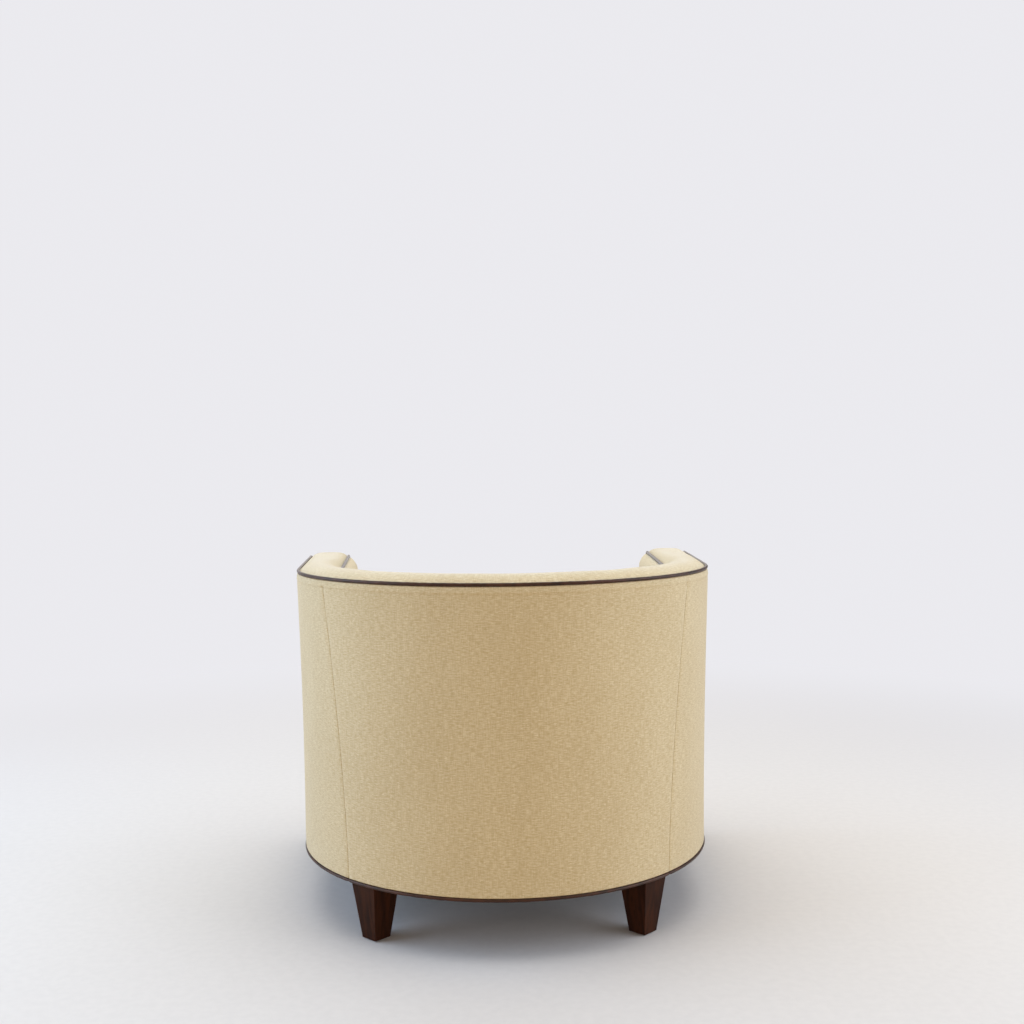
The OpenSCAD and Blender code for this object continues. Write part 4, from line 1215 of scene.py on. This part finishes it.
def dust_sheet():
    """Thin black cloth tacked under the frame, cut out round the legs and sagging between the rails."""
    outline = seat_outline(DUST_IN, FRONT_RAIL_Y + DUST_IN - FRAME_IN, 4 * MM, 200)
    holes = leg_holes()
    rims = np.concatenate([outline, *holes])

    def on_sheet(point):
        return inside(point, outline) and not any(inside(point, hole) for hole in holes)

    def from_rim(point):
        return np.linalg.norm(rims - point, axis=1).min()

    flat, edges = list(rims), []
    first = 0
    for loop in (outline, *holes):
        edges += [(first + k, first + (k + 1) % len(loop)) for k in range(len(loop))]
        first += len(loop)
    for i in range(-26, 27):
        for j in range(-24, 24):
            point = np.array([i, j]) * DUST_STEP
            if from_rim(point) > 0.6 * DUST_STEP and on_sheet(point):
                flat.append(point)
    cut = geometry.delaunay_2d_cdt([Vector(p) for p in flat], edges, [], 0, 1e-6)
    points = np.array([tuple(p) for p in cut[0]])
    faces = [tuple(face) for face in cut[2] if on_sheet(points[list(face)].mean(0))]
    near = np.array([from_rim(p) for p in points])
    sag = DUST_SAG * covered(near - 20 * MM, 120 * MM) ** 1.5
    wave = 0.5 * MM * ripple(points[:, 0], points[:, 1], 0.13, 71) * covered(near, 40 * MM)
    z = LEG_H - 0.3 * MM - sag + np.minimum(wave, 0)
    both = np.concatenate([np.column_stack([points, h]) for h in (z, z - DUST_T)])
    sides = {edge: True for a, b, c in faces for edge in ((a, b), (b, c), (c, a))}
    rim = [(a, b) for a, b in sides if (b, a) not in sides]
    piece = closed_mesh("dust_sheet", both, two_sided(len(points), faces, rim), both[:, :2])
    dress(piece, FELT, nodes=("dust_cover",))


dust_sheet()


# The frame's own pieces


LEG_EDGE = 1.2 * MM


def frame_materials():
    legs = [f"{end}_{side}_leg" for end in ("front", "rear") for side in ("left", "right")]
    for material, nodes in (
        (WALNUT, legs),
        (BEECH[0], ("front_rail", "back_rail", "front_leg_blocks")),
        (BEECH[1], ("left_side_rail", "right_side_rail", "seat_brace", "rear_leg_blocks")),
        (BEECH[2], ("left_front_post", "right_front_post", "uprights")),
        (PLYWOOD, ("back_rim", "left_arm_rim", "right_arm_rim")),
        (CARD, ("outside_back_board", "outside_left_board", "outside_right_board", "edge_strip")),
        (STEEL, ("hanger_bolts", "tee_nuts")),
        (NYLON, ("leg_glides",)),
    ):
        for node in nodes:
            for place in frame["nodes"][node].material_slots:
                place.material = material
    for name in legs:
        edges = frame["nodes"][name].modifiers.new("worn_edges", "BEVEL")
        edges.width = LEG_EDGE
        edges.segments = 3
        edges.limit_method = "ANGLE"
        edges.angle_limit = math.radians(30)


frame_materials()


# Floor, light and camera


BACKGROUND = (0.83, 0.825, 0.86, 1.0)
FLOOR = (0.70, 0.665, 0.635, 1.0)
WARM_BOUNCE = (0.62, 0.47, 0.28, 1.0)
SKY = (1.0, 0.92, 0.83, 1.0)
SKY_STRENGTH = 0.24
FLOOR_HALF = 40
FADE_FROM, FADE_TO = 0.8, 3.0
CHAIR_MIDDLE = Vector((0, 0, 0.4))


def seen_rays(n, kinds):
    """1 for the kinds of ray that show the background, 0 for the light that falls on the chair."""
    path = n.tree.nodes.new("ShaderNodeLightPath")
    seen = path.outputs[f"Is {kinds[0]} Ray"]
    for kind in kinds[1:]:
        seen = n.math("ADD", seen, path.outputs[f"Is {kind} Ray"], clamp=True)
    return seen


def floor():
    """A pale floor that fades into the background far from the chair."""
    n = Nodes(bpy.data.materials.new("pale_floor"))
    seen = seen_rays(n, ("Camera", "Glossy", "Transmission"))
    place = place_in(n)
    x, y = n.part(place, 0), n.part(place, 1)
    far = n.math("SQRT", n.plus(n.times(x, x), n.times(y, y)))
    fleck = n.noise(place, (60, 60, 1), 3)
    pale = n.mix(n.ramp(fleck, 0.35, 0.65), FLOOR, (*[c * 0.97 for c in FLOOR[:3]], 1.0))
    shader = n.tree.nodes["Principled BSDF"]
    n.put(shader.inputs["Base Color"], n.mix(seen, WARM_BOUNCE, pale))
    shader.inputs["Roughness"].default_value = 0.9
    band = {"Value": far, "From Min": FADE_FROM, "From Max": FADE_TO}
    fade = n.times(n.add("MapRange", band, interpolation_type="SMOOTHSTEP"), seen)
    glow = n.add("Emission", {"Color": BACKGROUND})
    n.put(n.tree.nodes["Material Output"].inputs[0], n.mix_shaders(fade, shader.outputs[0], glow))
    corners = [(a * FLOOR_HALF, b * FLOOR_HALF, 0) for a, b in ((-1, -1), (1, -1), (1, 1), (-1, 1))]
    piece = add_mesh("floor", corners, [(0, 1, 2, 3)])
    piece.data.materials.append(n.owner)


def world():
    n = Nodes(bpy.data.worlds.new("studio"))
    bpy.context.scene.world = n.owner
    light = n.tree.nodes["Background"]
    light.inputs["Color"].default_value = SKY
    light.inputs["Strength"].default_value = SKY_STRENGTH
    shown = n.add("Background", {"Color": BACKGROUND})
    both = n.mix_shaders(seen_rays(n, ("Camera", "Transmission")), light.outputs[0], shown)
    n.put(n.tree.nodes["World Output"].inputs[0], both)


def lamp(name, place, width, height, power, tint=(1, 1, 1)):
    """A rectangle of light turned to the middle of the chair."""
    data = bpy.data.lights.new(name, "AREA")
    data.shape = "RECTANGLE"
    data.size, data.size_y = width, height
    data.energy = power
    data.color = tint
    piece = bpy.data.objects.new(name, data)
    piece.location = place
    piece.rotation_euler = (CHAIR_MIDDLE - Vector(place)).to_track_quat("-Z", "Y").to_euler()
    bpy.context.scene.collection.objects.link(piece)


def lights():
    lamp("left_window", (2.9, 0.2, 1.3), 3.0, 2.4, 86, (0.56, 0.74, 1.0))
    lamp("right_window", (-2.8, 0.7, 1.3), 3.0, 2.4, 70, (0.72, 0.83, 1.0))
    lamp("overhead", (0, -0.3, 3.0), 3.6, 3.6, 72, (1.0, 1.0, 0.97))
    lamp("front_fill", (0.3, -3.6, 1.6), 4.2, 2.6, 43)
    lamp("rear_fill", (0.2, 4.4, 1.3), 4.4, 2.6, 41, (1.0, 0.75, 0.53))


def camera():
    """The photograph's place and angle, fitted to the chair's outline, piping and legs."""
    data = bpy.data.cameras.new("camera")
    data.sensor_width = 36
    data.lens = 43.494
    viewer = bpy.data.objects.new("camera", data)
    bpy.context.scene.collection.objects.link(viewer)
    viewer.location = (0.06172, 2.44902, 0.83945)
    ahead = Vector((-0.033155, -0.998839, -0.034952))
    level = ahead.to_track_quat("-Z", "Y").to_matrix()
    viewer.rotation_euler = (level @ Matrix.Rotation(math.radians(-0.6), 3, "Z")).to_euler()
    bpy.context.scene.camera = viewer


floor()
world()
lights()
camera()
bpy.context.scene.view_settings.view_transform = "Standard"
